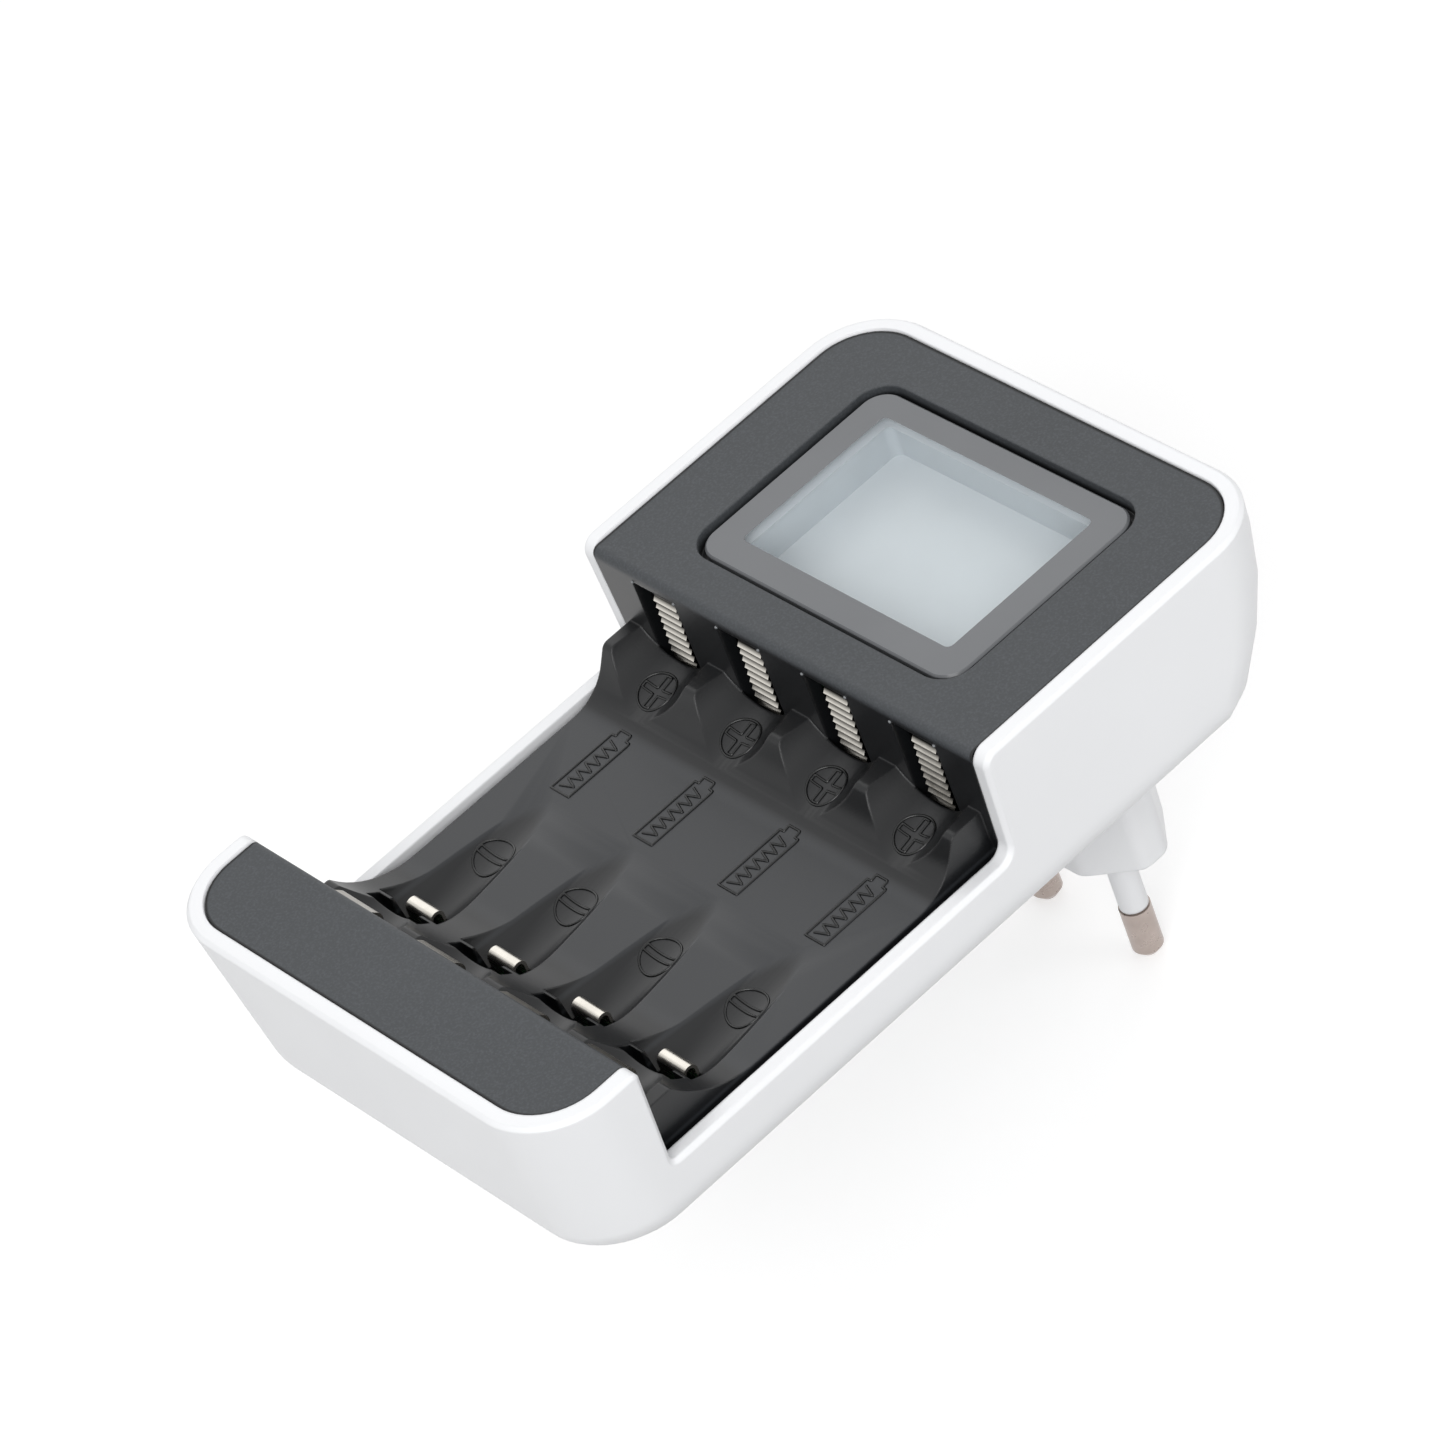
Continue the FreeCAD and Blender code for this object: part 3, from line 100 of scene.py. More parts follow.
# Signs in the tray: where their lines drop from and how far, their places along Y, and their sizes.
RAY_START = TOP + 5 * MM
RAY_LENGTH = 0.1
PLUS_PLACE = HEAD_WALL - 4.4 * MM
MINUS_PLACE = HEAD_WALL - 32.1 * MM
CELL_SIGN_HEAD = HEAD_WALL - 11.2 * MM
CELL_SIGN_TOE = HEAD_WALL - 21.1 * MM
CELL_SIGN_HALF = 1.6 * MM
CELL_SIGN_KNOB = 0.95 * MM
PLUS_RING = 2.55 * MM
PLUS_REACH = 2.25 * MM
MINUS_RING = 2.6 * MM
MINUS_REACH = 2.5 * MM
SIGN_STROKE = 0.42 * MM
ZIGZAG_TEETH = 6
ZIGZAG_GAP = 0.8 * MM

# Merging of the CAD's loose triangles, and the angle up to which their edges are shaded smooth.
MERGE_DISTANCE = 0.0005 * MM
SMOOTH_ANGLE = math.radians(28)

# Camera of the photograph: place in metres, turn in degrees, sensor width and focal length in millimetres.
CAMERA_PLACE = (0.56077, -0.3257, 0.58782)
CAMERA_TURN = (47.097, 16.901, 47.597)
CAMERA_SENSOR = 36
CAMERA_LENS = 182.43

# Lamps: name, place, the point that it looks at, side length in metres and power in watts.
LAMPS = (
    ("key", (-0.75, 0.5, 0.85), (0, -0.04, 0.03), 1.5, 4),
    ("front", (0.75, -0.75, 0.75), (0, -0.04, 0.03), 0.8, 9.5),
    ("side", (0.26, 0.17, 0.12), (0.03, 0.0, 0.02), 0.15, 0.16))
PLAIN_WHITE = (1, 1, 1, 1)
HORIZON_LEVEL = 0.53
ZENITH_LEVEL = 0.6
FLOOR_SIZE = 3.0
FLOOR_GLOW = 0.46


# Camera and lamps

def place_camera():
    """Camera where the photograph was taken from, rolled as it was held."""
    data = bpy.data.cameras.new("camera")
    data.sensor_width = CAMERA_SENSOR
    data.lens = CAMERA_LENS
    data.clip_start = 0.05
    data.clip_end = 20
    camera = bpy.data.objects.new("camera", data)
    camera.location = CAMERA_PLACE
    camera.rotation_euler = Euler([math.radians(angle) for angle in CAMERA_TURN])
    bpy.context.scene.collection.objects.link(camera)
    bpy.context.scene.camera = camera


def softbox(name, place, aim, size, power):
    """Square area lamp that looks at a point and doesn't show itself."""
    data = bpy.data.lights.new(name, "AREA")
    data.shape = "SQUARE"
    data.size = size
    data.energy = power
    lamp = bpy.data.objects.new(name, data)
    lamp.location = place
    lamp.visible_camera = False
    lamp.rotation_euler = (Vector(aim) - Vector(place)).to_track_quat("-Z", "Y").to_euler()
    bpy.context.scene.collection.objects.link(lamp)


# Nodes and colours

def linear(code):
    """sRGB hex code as linear red, green, blue and alpha."""
    parts = [int(code[i:i + 2], 16) / 255 for i in (0, 2, 4)]
    return tuple(c / 12.92 if c <= 0.04045 else ((c + 0.055) / 1.055) ** 2.4 for c in parts) + (1.0,)


def node(tree, kind, settings=None, links=None):
    """Add a node: its settings by name, and its inputs by name or number, as values or as sockets."""
    made = tree.nodes.new(kind)
    for name, value in (settings or {}).items():
        setattr(made, name, value)
    for name, value in (links or {}).items():
        if isinstance(value, bpy.types.NodeSocket):
            tree.links.new(value, made.inputs[name])
        else:
            made.inputs[name].default_value = value
    return made


def new_material(name):
    """Material with an empty node tree, and that tree."""
    material = bpy.data.materials.new(name)
    material.use_nodes = True
    material.node_tree.nodes.clear()
    return material, material.node_tree


def finish_with(tree, shader):
    """Show a shader on the surface."""
    node(tree, "ShaderNodeOutputMaterial", links={"Surface": shader})


def object_place(tree):
    """Place on the piece, in metres, which rides with it at every pose."""
    return node(tree, "ShaderNodeTexCoord").outputs["Object"]


def grain(tree, place, size, height, edge=0.0):
    """Bump of a fine even grain: grit size and height in metres, over edges broken by a small radius.

    Real grit is near 0.1 mm, too fine to show here, so most finishes draw it three times as coarse."""
    noise = node(tree, "ShaderNodeTexNoise", links={
        "Vector": place, "Scale": 1 / size, "Detail": 2.0, "Roughness": 0.6})
    bump = node(tree, "ShaderNodeBump", links={
        "Height": noise.outputs["Fac"], "Distance": height, "Strength": 1.0})
    if edge:
        broken = node(tree, "ShaderNodeBevel", {"samples": 6}, {"Radius": edge})
        tree.links.new(broken.outputs["Normal"], bump.inputs["Normal"])
    return bump.outputs["Normal"]


def mottle(tree, place, size, low, high):
    """Slow change between two values over the surface, over about the size given."""
    noise = node(tree, "ShaderNodeTexNoise", links={"Vector": place, "Scale": 1 / size, "Detail": 3.0})
    return node(tree, "ShaderNodeMapRange", links={
        "Value": noise.outputs["Fac"], "From Min": 0.3, "From Max": 0.7,
        "To Min": low, "To Max": high}).outputs["Result"]


def tint(tree, factor, first, second):
    """Colour between two, each a hex code or a socket."""
    mixed = node(tree, "ShaderNodeMix", {"data_type": "RGBA"}, {"Factor": factor})
    for name, value in (("A", first), ("B", second)):
        socket = [s for s in mixed.inputs if s.name == name and s.type == "RGBA"][0]
        if isinstance(value, str):
            socket.default_value = linear(value)
        else:
            tree.links.new(value, socket)
    return [s for s in mixed.outputs if s.type == "RGBA"][0]


def reach_past(tree, place, middle, half, corner):
    """How far a point lies past the straight part of a rounded rectangle; at its outline that is corner."""
    moved = node(tree, "ShaderNodeVectorMath", {"operation": "SUBTRACT"}, {0: place, 1: middle})
    size = node(tree, "ShaderNodeVectorMath", {"operation": "ABSOLUTE"}, {0: moved.outputs[0]})
    past = node(tree, "ShaderNodeVectorMath", {"operation": "SUBTRACT"},
                {0: size.outputs[0], 1: half - Vector((corner, corner, 0))})
    outside = node(tree, "ShaderNodeVectorMath", {"operation": "MAXIMUM"},
                   {0: past.outputs[0], 1: (0, 0, 0)})
    flat = node(tree, "ShaderNodeVectorMath", {"operation": "MULTIPLY"},
                {0: outside.outputs[0], 1: (1, 1, 0)})
    length = node(tree, "ShaderNodeVectorMath", {"operation": "LENGTH"}, {0: flat.outputs[0]})
    return length.outputs["Value"]


def white_abs():
    """White ABS, injection moulded in a fine satin tool: bright, with a broad soft sheen."""
    material, tree = new_material("white_moulded_abs")
    place = object_place(tree)
    colour = tint(tree, mottle(tree, place, 30 * MM, 0.0, 1.0), "F1F2F4", "F4F5F7")
    shader = node(tree, "ShaderNodeBsdfPrincipled", links={
        "Base Color": colour, "Roughness": mottle(tree, place, 12 * MM, 0.36, 0.42), "IOR": 1.54,
        "Normal": grain(tree, place, 0.35 * MM, 0.004 * MM, edge=0.4 * MM)})
    finish_with(tree, shader.outputs["BSDF"])
    return material


def grey_abs():
    """Dark grey ABS, moulded in one: a spark-eroded matte grain with pale specks on the two panels, a thin
    painted shadow for the gap round them, and between them a shinier tray, painted darker as painted shade
    in the bay and its grooves besides its smoother finish, with a floor painted paler, partly a finish and
    partly a painted sheen."""
    material, tree = new_material("grey_eroded_abs")
    place = object_place(tree)
    height = node(tree, "ShaderNodeSeparateXYZ", links={"Vector": place}).outputs["Z"]
    on_panel = node(tree, "ShaderNodeMapRange", links={
        "Value": height, "From Min": PANEL_FOOT, "From Max": PANEL_EDGE}).outputs["Result"]
    off_floor = node(tree, "ShaderNodeMath", {"operation": "SUBTRACT"}, {0: height, 1: TRAY_FLOOR})
    off_floor = node(tree, "ShaderNodeMath", {"operation": "ABSOLUTE"}, {0: off_floor.outputs[0]})
    floor_finish_and_sheen = node(tree, "ShaderNodeMapRange", links={
        "Value": off_floor.outputs[0], "From Min": 0.1 * MM, "From Max": 0.4 * MM,
        "To Min": 1.0, "To Max": 0.0}).outputs["Result"]
    panel = tint(tree, mottle(tree, place, 25 * MM, 0.0, 1.0), "3A3D40", "3E4144")
    # Painted shade and sheen: the tray is darker than the panels, partly for its smoother finish and partly
    # as shade in the recessed bay and its grooves; its flat floor is paler, partly a finish and partly a
    # painted sheen from the light above.
    tray = tint(tree, mottle(tree, place, 8 * MM, 0.0, 1.0), "131416", "17181A")
    tray = tint(tree, floor_finish_and_sheen, tray, "2B2D30")
    noise = node(tree, "ShaderNodeTexNoise", links={
        "Vector": place, "Scale": 1 / (0.3 * MM), "Detail": 2.0})
    specks = node(tree, "ShaderNodeMapRange", links={
        "Value": noise.outputs["Fac"], "From Min": 0.45, "From Max": 0.75}).outputs["Result"]
    panel = tint(tree, specks, panel, "484B4F")
    low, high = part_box("front_cover")
    reach = reach_past(tree, place, (low + high) / 2, (high - low) / 2, COVER_CORNER)
    # Painted shadow: a thin dark band along the cover's rounded outline stands in for the shade in the gap
    # between the panels and the white rim.
    gap_shadow = node(tree, "ShaderNodeMapRange", links={
        "Value": reach, "From Min": COVER_CORNER - GAP_SHADOW_WIDTH,
        "From Max": COVER_CORNER - GAP_SHADOW_WIDTH / 2}).outputs["Result"]
    panel = tint(tree, gap_shadow, panel, "0B0C0D")
    rough = node(tree, "ShaderNodeMapRange", links={"Value": on_panel, "To Min": 0.32, "To Max": 0.56})
    coarse = grain(tree, place, 0.3 * MM, 0.012 * MM, edge=0.35 * MM)
    fine = grain(tree, place, 0.26 * MM, 0.009 * MM, edge=0.35 * MM)
    normal = node(tree, "ShaderNodeMix", {"data_type": "VECTOR"}, {0: on_panel})
    vectors = [s for s in normal.inputs if s.type == "VECTOR"]
    tree.links.new(fine, vectors[-2])
    tree.links.new(coarse, vectors[-1])
    shader = node(tree, "ShaderNodeBsdfPrincipled", links={
        "Base Color": tint(tree, on_panel, tray, panel), "Roughness": rough.outputs["Result"], "IOR": 1.54,
        "Specular IOR Level": 0.38, "Normal": [s for s in normal.outputs if s.type == "VECTOR"][0]})
    finish_with(tree, shader.outputs["BSDF"])
    return material


def plain_plastic(name, colour, second, rough):
    """Moulded or coated surface of one colour with a slow change of tone and a fine grain."""
    material, tree = new_material(name)
    place = object_place(tree)
    shader = node(tree, "ShaderNodeBsdfPrincipled", links={
        "Base Color": tint(tree, mottle(tree, place, 6 * MM, 0.0, 1.0), colour, second),
        "Roughness": mottle(tree, place, 3 * MM, rough - 0.04, rough + 0.04), "IOR": 1.5,
        "Normal": grain(tree, place, 0.3 * MM, 0.004 * MM)})
    finish_with(tree, shader.outputs["BSDF"])
    return material


def printed_lens():
    """Acrylic lens, hard and glossy: clear in the middle, printed grey round it, pale behind the print."""
    material, tree = new_material("printed_acrylic_lens")
    place = object_place(tree)
    middle = Vector((0, WINDOW_TOE + WINDOW.y / 2, 0))
    reach = reach_past(tree, place, middle, WINDOW / 2, WINDOW_CORNER)
    beyond = node(tree, "ShaderNodeMath", {"operation": "GREATER_THAN"}, {0: reach, 1: WINDOW_CORNER})
    grey = node(tree, "ShaderNodeBsdfPrincipled", links={
        "Base Color": tint(tree, mottle(tree, place, 20 * MM, 0.0, 1.0), "66686B", "6C6E71"),
        "Roughness": 0.28, "IOR": 1.49, "Normal": grain(tree, place, 0.5 * MM, 0.0015 * MM)})
    through = node(tree, "ShaderNodeBsdfTransparent", links={"Color": (0.96, 0.973, 0.974, 1)})
    shine = node(tree, "ShaderNodeBsdfGlossy", links={"Color": PLAIN_WHITE, "Roughness": 0.04})
    gloss = node(tree, "ShaderNodeFresnel", links={"IOR": 1.49})
    outer = node(tree, "ShaderNodeMath", {"operation": "SUBTRACT"},
                 {0: 1.0, 1: node(tree, "ShaderNodeNewGeometry").outputs["Backfacing"]})
    border = node(tree, "ShaderNodeMath", {"operation": "MULTIPLY"},
                  {0: beyond.outputs[0], 1: outer.outputs[0]}).outputs[0]
    mirror = node(tree, "ShaderNodeMath", {"operation": "MULTIPLY"},
                  {0: gloss.outputs[0], 1: outer.outputs[0]})
    clear = node(tree, "ShaderNodeMixShader", links={
        0: mirror.outputs[0], 1: through.outputs[0], 2: shine.outputs[0]})
    seen = node(tree, "ShaderNodeMixShader", links={0: border, 1: clear.outputs[0], 2: grey.outputs[0]})
    behind = node(tree, "ShaderNodeMath", {"operation": "SUBTRACT"}, {0: beyond.outputs[0], 1: border})
    backing = node(tree, "ShaderNodeBsdfDiffuse", links={"Color": linear("CDD3D8")})
    whole = node(tree, "ShaderNodeMixShader", links={
        0: behind.outputs[0], 1: seen.outputs[0], 2: backing.outputs[0]})
    finish_with(tree, whole.outputs[0])
    return material


def display_glass():
    """Reflective liquid crystal panel, switched off: a pale cool grey film under smooth glass."""
    material, tree = new_material("liquid_crystal_panel")
    place = object_place(tree)
    shader = node(tree, "ShaderNodeBsdfPrincipled", links={
        "Base Color": tint(tree, mottle(tree, place, 15 * MM, 0.0, 1.0), "D2D6DA", "D8DCE0"),
        "Roughness": 0.32, "IOR": 1.5})
    finish_with(tree, shader.outputs["BSDF"])
    return material


def metal(name, colour, second, rough, line=None, ribs=None, metallic=1.0, grit=0.003 * MM):
    """Plated metal with a soft gloss; with line, drawn along X in lines that far apart.

    With ribs it carries painted shade between its ribs, darker towards each valley: ribs gives Y at their
    crests and in their valleys where Z is 0, and how far Y moves with Z."""
    material, tree = new_material(name)
    place = object_place(tree)
    stretched = place
    if line:
        stretched = node(tree, "ShaderNodeMapping", {"vector_type": "POINT"},
                         {"Vector": place, "Scale": (0.06, 1, 1)}).outputs["Vector"]
    size = line or 0.4 * MM
    face = tint(tree, mottle(tree, place, 2 * MM, 0.0, 1.0), colour, second)
    if ribs:
        crest, deep, lean = ribs
        split = node(tree, "ShaderNodeSeparateXYZ", links={"Vector": place})
        drift = node(tree, "ShaderNodeMath", {"operation": "MULTIPLY"}, {0: split.outputs["Z"], 1: lean})
        depth = node(tree, "ShaderNodeMath", {"operation": "SUBTRACT"},
                     {0: split.outputs["Y"], 1: drift.outputs[0]})
        painted_valley_shade = node(tree, "ShaderNodeMapRange", links={
            "Value": depth.outputs[0], "From Min": crest, "From Max": deep}).outputs["Result"]
        # Painted shade: the colour darkens towards each rib's valley, where the strip would mirror the dark
        # slot.
        face = tint(tree, painted_valley_shade, face, "3C3A37")
    shader = node(tree, "ShaderNodeBsdfPrincipled", links={
        "Base Color": face, "Metallic": metallic,
        "Roughness": mottle(tree, stretched, size * 3, rough - 0.06, rough + 0.06),
        "Normal": grain(tree, stretched, size, grit)})
    finish_with(tree, shader.outputs["BSDF"])
    return material


# Pieces from the frame

def dress(material, *names):
    """Give CAD nodes that keep their shape a material."""
    for name in names:
        item = frame["nodes"][name]
        item.data.materials.clear()
        item.data.materials.append(material)


def closed_ring(name, outlines):
    """Mesh object of a closed ring, through closed outlines of equally many points."""
    work = bmesh.new()
    rings = [[work.verts.new(point) for point in outline] for outline in outlines]
    for i, ring in enumerate(rings):
        upper = rings[(i + 1) % len(rings)]
        for j in range(len(ring)):
            k = (j + 1) % len(ring)
            work.faces.new((ring[j], ring[k], upper[k], upper[j]))
    bmesh.ops.recalc_face_normals(work, faces=work.faces)
    mesh = bpy.data.meshes.new(name)
    work.to_mesh(mesh)
    work.free()
    item = bpy.data.objects.new(name, mesh)
    bpy.context.scene.collection.objects.link(item)
    return item


def tub_outline(inset, z):
    """Outline of the tub at height z, drawn in at its toe and sides by inset and left clear at the rear."""
    drop = TOP - z
    half = TUB_HALF - SIDE_SLOPE * drop - inset
    toe, rear = TUB_TOE + TOE_SLOPE * drop + inset, TUB_REAR + 2 * MM
    points = []
    for turn, (x, y) in enumerate(((half, rear), (-half, rear), (-half, toe), (half, toe))):
        middle_x = x - math.copysign(TUB_CORNER, x)
        middle_y = y - TUB_CORNER if y == rear else y + TUB_CORNER
        for i in range(CORNER_STEPS + 1):
            bend = math.pi / 2 * (turn + i / CORNER_STEPS)
            points.append((middle_x + TUB_CORNER * math.cos(bend),
                           middle_y + TUB_CORNER * math.sin(bend), z))
    return points


def bottom_edge_cutter():
    """What a rounder lower edge takes off the tub's toe and sides; it stays a hair clear of their flats."""
    outlines = []
    for i in range(EDGE_STEPS + 1):
        bend = math.pi / 2 * i / EDGE_STEPS
        height = TUB_BOTTOM + LOWER_EDGE * (1 - math.cos(bend))
        outlines.append(tub_outline(LOWER_EDGE * (1 - math.sin(bend)) - CUTTER_SKIN, height))
    outlines.append(tub_outline(-CUTTER_REACH, TUB_BOTTOM + LOWER_EDGE))
    outlines.append(tub_outline(-CUTTER_REACH, TUB_BOTTOM - MM))
    outlines.append(tub_outline(LOWER_EDGE - CUTTER_SKIN, TUB_BOTTOM - MM))
    return closed_ring("bottom_edge_cutter", outlines)


def cut_away(mesh, cutter):
    """Take a closed cutter off a closed mesh."""
    item = bpy.data.objects.new("being_cut", mesh)
    bpy.context.scene.collection.objects.link(item)
    boolean = item.modifiers.new("cut", "BOOLEAN")
    boolean.operation = "DIFFERENCE"
    boolean.solver = "EXACT"
    boolean.object = cutter
    bpy.context.view_layer.update()
    result = bpy.data.meshes.new_from_object(item.evaluated_get(bpy.context.evaluated_depsgraph_get()))
    bpy.data.objects.remove(item)
    bpy.data.objects.remove(cutter)
    return result


def smooth_copy(name, node_name, material, cutter=None):
    """Copy of a frame node, its facets joined and shaded smooth, shown in its place; a cutter trims it."""
    mesh = frame["nodes"][node_name].data.copy()
    work = bmesh.new()
    work.from_mesh(mesh)
    bmesh.ops.remove_doubles(work, verts=work.verts, dist=MERGE_DISTANCE)
    if cutter:
        work.to_mesh(mesh)
        mesh = cut_away(mesh, cutter)
        work.clear()
        work.from_mesh(mesh)
        bmesh.ops.remove_doubles(work, verts=work.verts, dist=MERGE_DISTANCE)
    for face in work.faces:
        face.smooth = True
    for edge in work.edges:
        edge.smooth = len(edge.link_faces) == 2 and edge.calc_face_angle(0) < SMOOTH_ANGLE
    work.to_mesh(mesh)
    work.free()
    mesh.materials.clear()
    mesh.materials.append(material)
    piece = bpy.data.objects.new(name, mesh)
    bpy.context.scene.collection.objects.link(piece)
    weigh = piece.modifiers.new("face_weighted_normals", "WEIGHTED_NORMAL")
    weigh.keep_sharp = True
    for body, members in frame["record"]["behaviour"]["bodies"].items():
        if node_name in members:
            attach(piece, body)
    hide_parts(node_name)
    return piece


# Raised signs in the tray, and beads at the slots

def new_tree(name, inputs):
    """Geometry tree with one geometry in and out, and named inputs for its sizes."""
    tree = bpy.data.node_groups.new(name, "GeometryNodeTree")
    tree.interface.new_socket("Geometry", in_out="INPUT", socket_type="NodeSocketGeometry")
    for label, kind, value in inputs:
        socket = tree.interface.new_socket(label, in_out="INPUT", socket_type=kind)
        if value is not None:
            socket.default_value = value
    tree.interface.new_socket("Geometry", in_out="OUTPUT", socket_type="NodeSocketGeometry")
    return tree


def coat_and_end(tree, geometry, material):
    """End of a tree: all instances made real, shaded smooth, in one material."""
    plain = node(tree, "GeometryNodeRealizeInstances", links={"Geometry": geometry})
    smooth = node(tree, "GeometryNodeSetShadeSmooth", links={"Geometry": plain.outputs["Geometry"]})
    coated = node(tree, "GeometryNodeSetMaterial", links={
        "Geometry": smooth.outputs["Geometry"], "Material": material})
    node(tree, "NodeGroupOutput", links={"Geometry": coated.outputs["Geometry"]})


def raised_line_tree(material):
    """Lines dropped onto a surface and given a round section that is sunk to its half."""
    tree = new_tree("raised_lines", [("Surface", "NodeSocketObject", None),
                                     ("Line Width", "NodeSocketFloat", 0.34 * MM),
                                     ("Point Spacing", "NodeSocketFloat", 0.2 * MM)])
    given = node(tree, "NodeGroupInput")
    surface = node(tree, "GeometryNodeObjectInfo", links={"Object": given.outputs["Surface"]})
    fine = node(tree, "GeometryNodeResampleCurve", {"mode": "LENGTH"}, {
        "Curve": given.outputs["Geometry"], "Length": given.outputs["Point Spacing"]})
    ray = node(tree, "GeometryNodeRaycast", links={
        "Target Geometry": surface.outputs["Geometry"], "Ray Direction": (0, 0, -1),
        "Ray Length": RAY_LENGTH})
    laid = node(tree, "GeometryNodeSetPosition", links={
        "Geometry": fine.outputs["Curve"], "Position": ray.outputs["Hit Position"]})
    radius = node(tree, "ShaderNodeMath", {"operation": "MULTIPLY"},
                  {0: given.outputs["Line Width"], 1: 0.5})
    section = node(tree, "GeometryNodeCurvePrimitiveCircle", links={
        "Resolution": 8, "Radius": radius.outputs[0]})
    swept = node(tree, "GeometryNodeCurveToMesh", links={
        "Curve": laid.outputs["Geometry"], "Profile Curve": section.outputs["Curve"], "Fill Caps": True})
    coat_and_end(tree, swept.outputs["Mesh"], material)
    return tree


def made_by_tree(name, source, tree, values, body):
    """Run a tree on an object and keep the result as a plain mesh on a body."""
    modifier = source.modifiers.new("tree", "NODES")
    modifier.node_group = tree
    sockets = {item.name: item.identifier for item in tree.interface.items_tree if item.in_out == "INPUT"}
    for label, value in values.items():
        modifier[sockets[label]] = value
    bpy.context.view_layer.update()
    evaluated = source.evaluated_get(bpy.context.evaluated_depsgraph_get())
    mesh = bpy.data.meshes.new_from_object(evaluated)
    bpy.data.objects.remove(source)
    piece = bpy.data.objects.new(name, mesh)
    bpy.context.scene.collection.objects.link(piece)
    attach(piece, body)
    return piece


def circle_points(x, y, radius, count=48):
    """Points round a circle."""
    turns = [2 * math.pi * i / count for i in range(count)]
    return [(x + radius * math.cos(turn), y + radius * math.sin(turn)) for turn in turns]


def plus_points(x, y, reach, half):
    """Outline of a plus sign."""
    quarter = [(half, reach), (half, half), (reach, half)]
    points = []
    for turn in range(4):
        cos, sin = round(math.cos(turn * math.pi / 2)), round(math.sin(turn * math.pi / 2))
        points += [(x + a * cos + b * sin, y - a * sin + b * cos) for a, b in quarter]
    return points


def bar_points(x, y, reach, half):
    """Outline of a minus sign, its ends on the circle around it."""
    return [(x - reach, y - half), (x + reach, y - half), (x + reach, y + half), (x - reach, y + half)]


def cell_points(x, toe, head, half, knob):
    """Outline of a cell seen from the side, its knob towards the head."""
    return [(x - half, toe), (x + half, toe), (x + half, head), (x + knob, head), (x + knob, head + knob),
            (x - knob, head + knob), (x - knob, head), (x - half, head)]


def zigzag_points(x, toe, head, half):
    """Line to and fro across a cell's sign, from its toe end to its head end."""
    step = (head - toe) / ZIGZAG_TEETH
    points = []
    for i in range(ZIGZAG_TEETH):
        start = toe + step * i
        points += [(x - half, start), (x + half, start + step / 2)]
    return points + [(x - half, head)]


def tray_marks(cover, material):
    """Plus signs at the head, minus signs at the toe and a cell's sign between them, as raised lines."""
    data = bpy.data.curves.new("tray_mark_lines", "CURVE")
    data.dimensions = "3D"

    def line(points, closed=True):
        spline = data.splines.new("POLY")
        spline.points.add(len(points) - 1)
        for spot, (x, y) in zip(spline.points, points):
            spot.co = (x, y, RAY_START, 1)
        spline.use_cyclic_u = closed

    for x in CELLS:
        line(circle_points(x, PLUS_PLACE, PLUS_RING))
        line(plus_points(x, PLUS_PLACE, PLUS_REACH, SIGN_STROKE))
        line(circle_points(x, MINUS_PLACE, MINUS_RING))
        line(bar_points(x, MINUS_PLACE, MINUS_REACH, SIGN_STROKE))
        line(cell_points(x, CELL_SIGN_TOE, CELL_SIGN_HEAD, CELL_SIGN_HALF, CELL_SIGN_KNOB))
        line(zigzag_points(x, CELL_SIGN_TOE + ZIGZAG_GAP, CELL_SIGN_HEAD - ZIGZAG_GAP, CELL_SIGN_KNOB),
             closed=False)
    source = bpy.data.objects.new("tray_mark_source", data)
    bpy.context.scene.collection.objects.link(source)
    piece = made_by_tree("tray_marks", source, raised_line_tree(material), {"Surface": cover}, BODY)


def bead_tree(material):
    """A small bead on every point given, sunk to its half where the point lies on a face."""
    tree = new_tree("beads", [("Bead Radius", "NodeSocketFloat", 0.22 * MM)])
    given = node(tree, "NodeGroupInput")
    bead = node(tree, "GeometryNodeMeshIcoSphere", links={
        "Radius": given.outputs["Bead Radius"], "Subdivisions": 2})
    spots = node(tree, "GeometryNodeMeshToPoints", links={"Mesh": given.outputs["Geometry"]})
    placed = node(tree, "GeometryNodeInstanceOnPoints", links={
        "Points": spots.outputs["Points"], "Instance": bead.outputs["Mesh"]})
    coat_and_end(tree, placed.outputs["Instances"], material)
    return tree


def slot_beads(material):
    """Moulding beads at the upper corners of the four slots in the head wall, in a pale grey that is a
    painted highlight.
    """
    mesh = bpy.data.meshes.new("slot_bead_points")
    corners = [(x + side * SLOT_HALF, HEAD_WALL, SLOT_TOP) for x in CELLS for side in (-1, 1)]
    mesh.from_pydata(corners, [], [])
    source = bpy.data.objects.new("slot_bead_source", mesh)
    bpy.context.scene.collection.objects.link(source)
    piece = made_by_tree("slot_beads", source, bead_tree(material), {}, BODY)


# Surround and floor

def seen_directly(tree):
    """1 for rays from the camera, through glass or off a gloss, which all see a white background."""
    path = node(tree, "ShaderNodeLightPath")
    seen = path.outputs["Is Camera Ray"]
    for name in ("Is Glossy Ray", "Is Transmission Ray"):
        either = node(tree, "ShaderNodeMath", {"operation": "MAXIMUM"}, {0: seen, 1: path.outputs[name]})
        seen = either.outputs[0]
    return seen


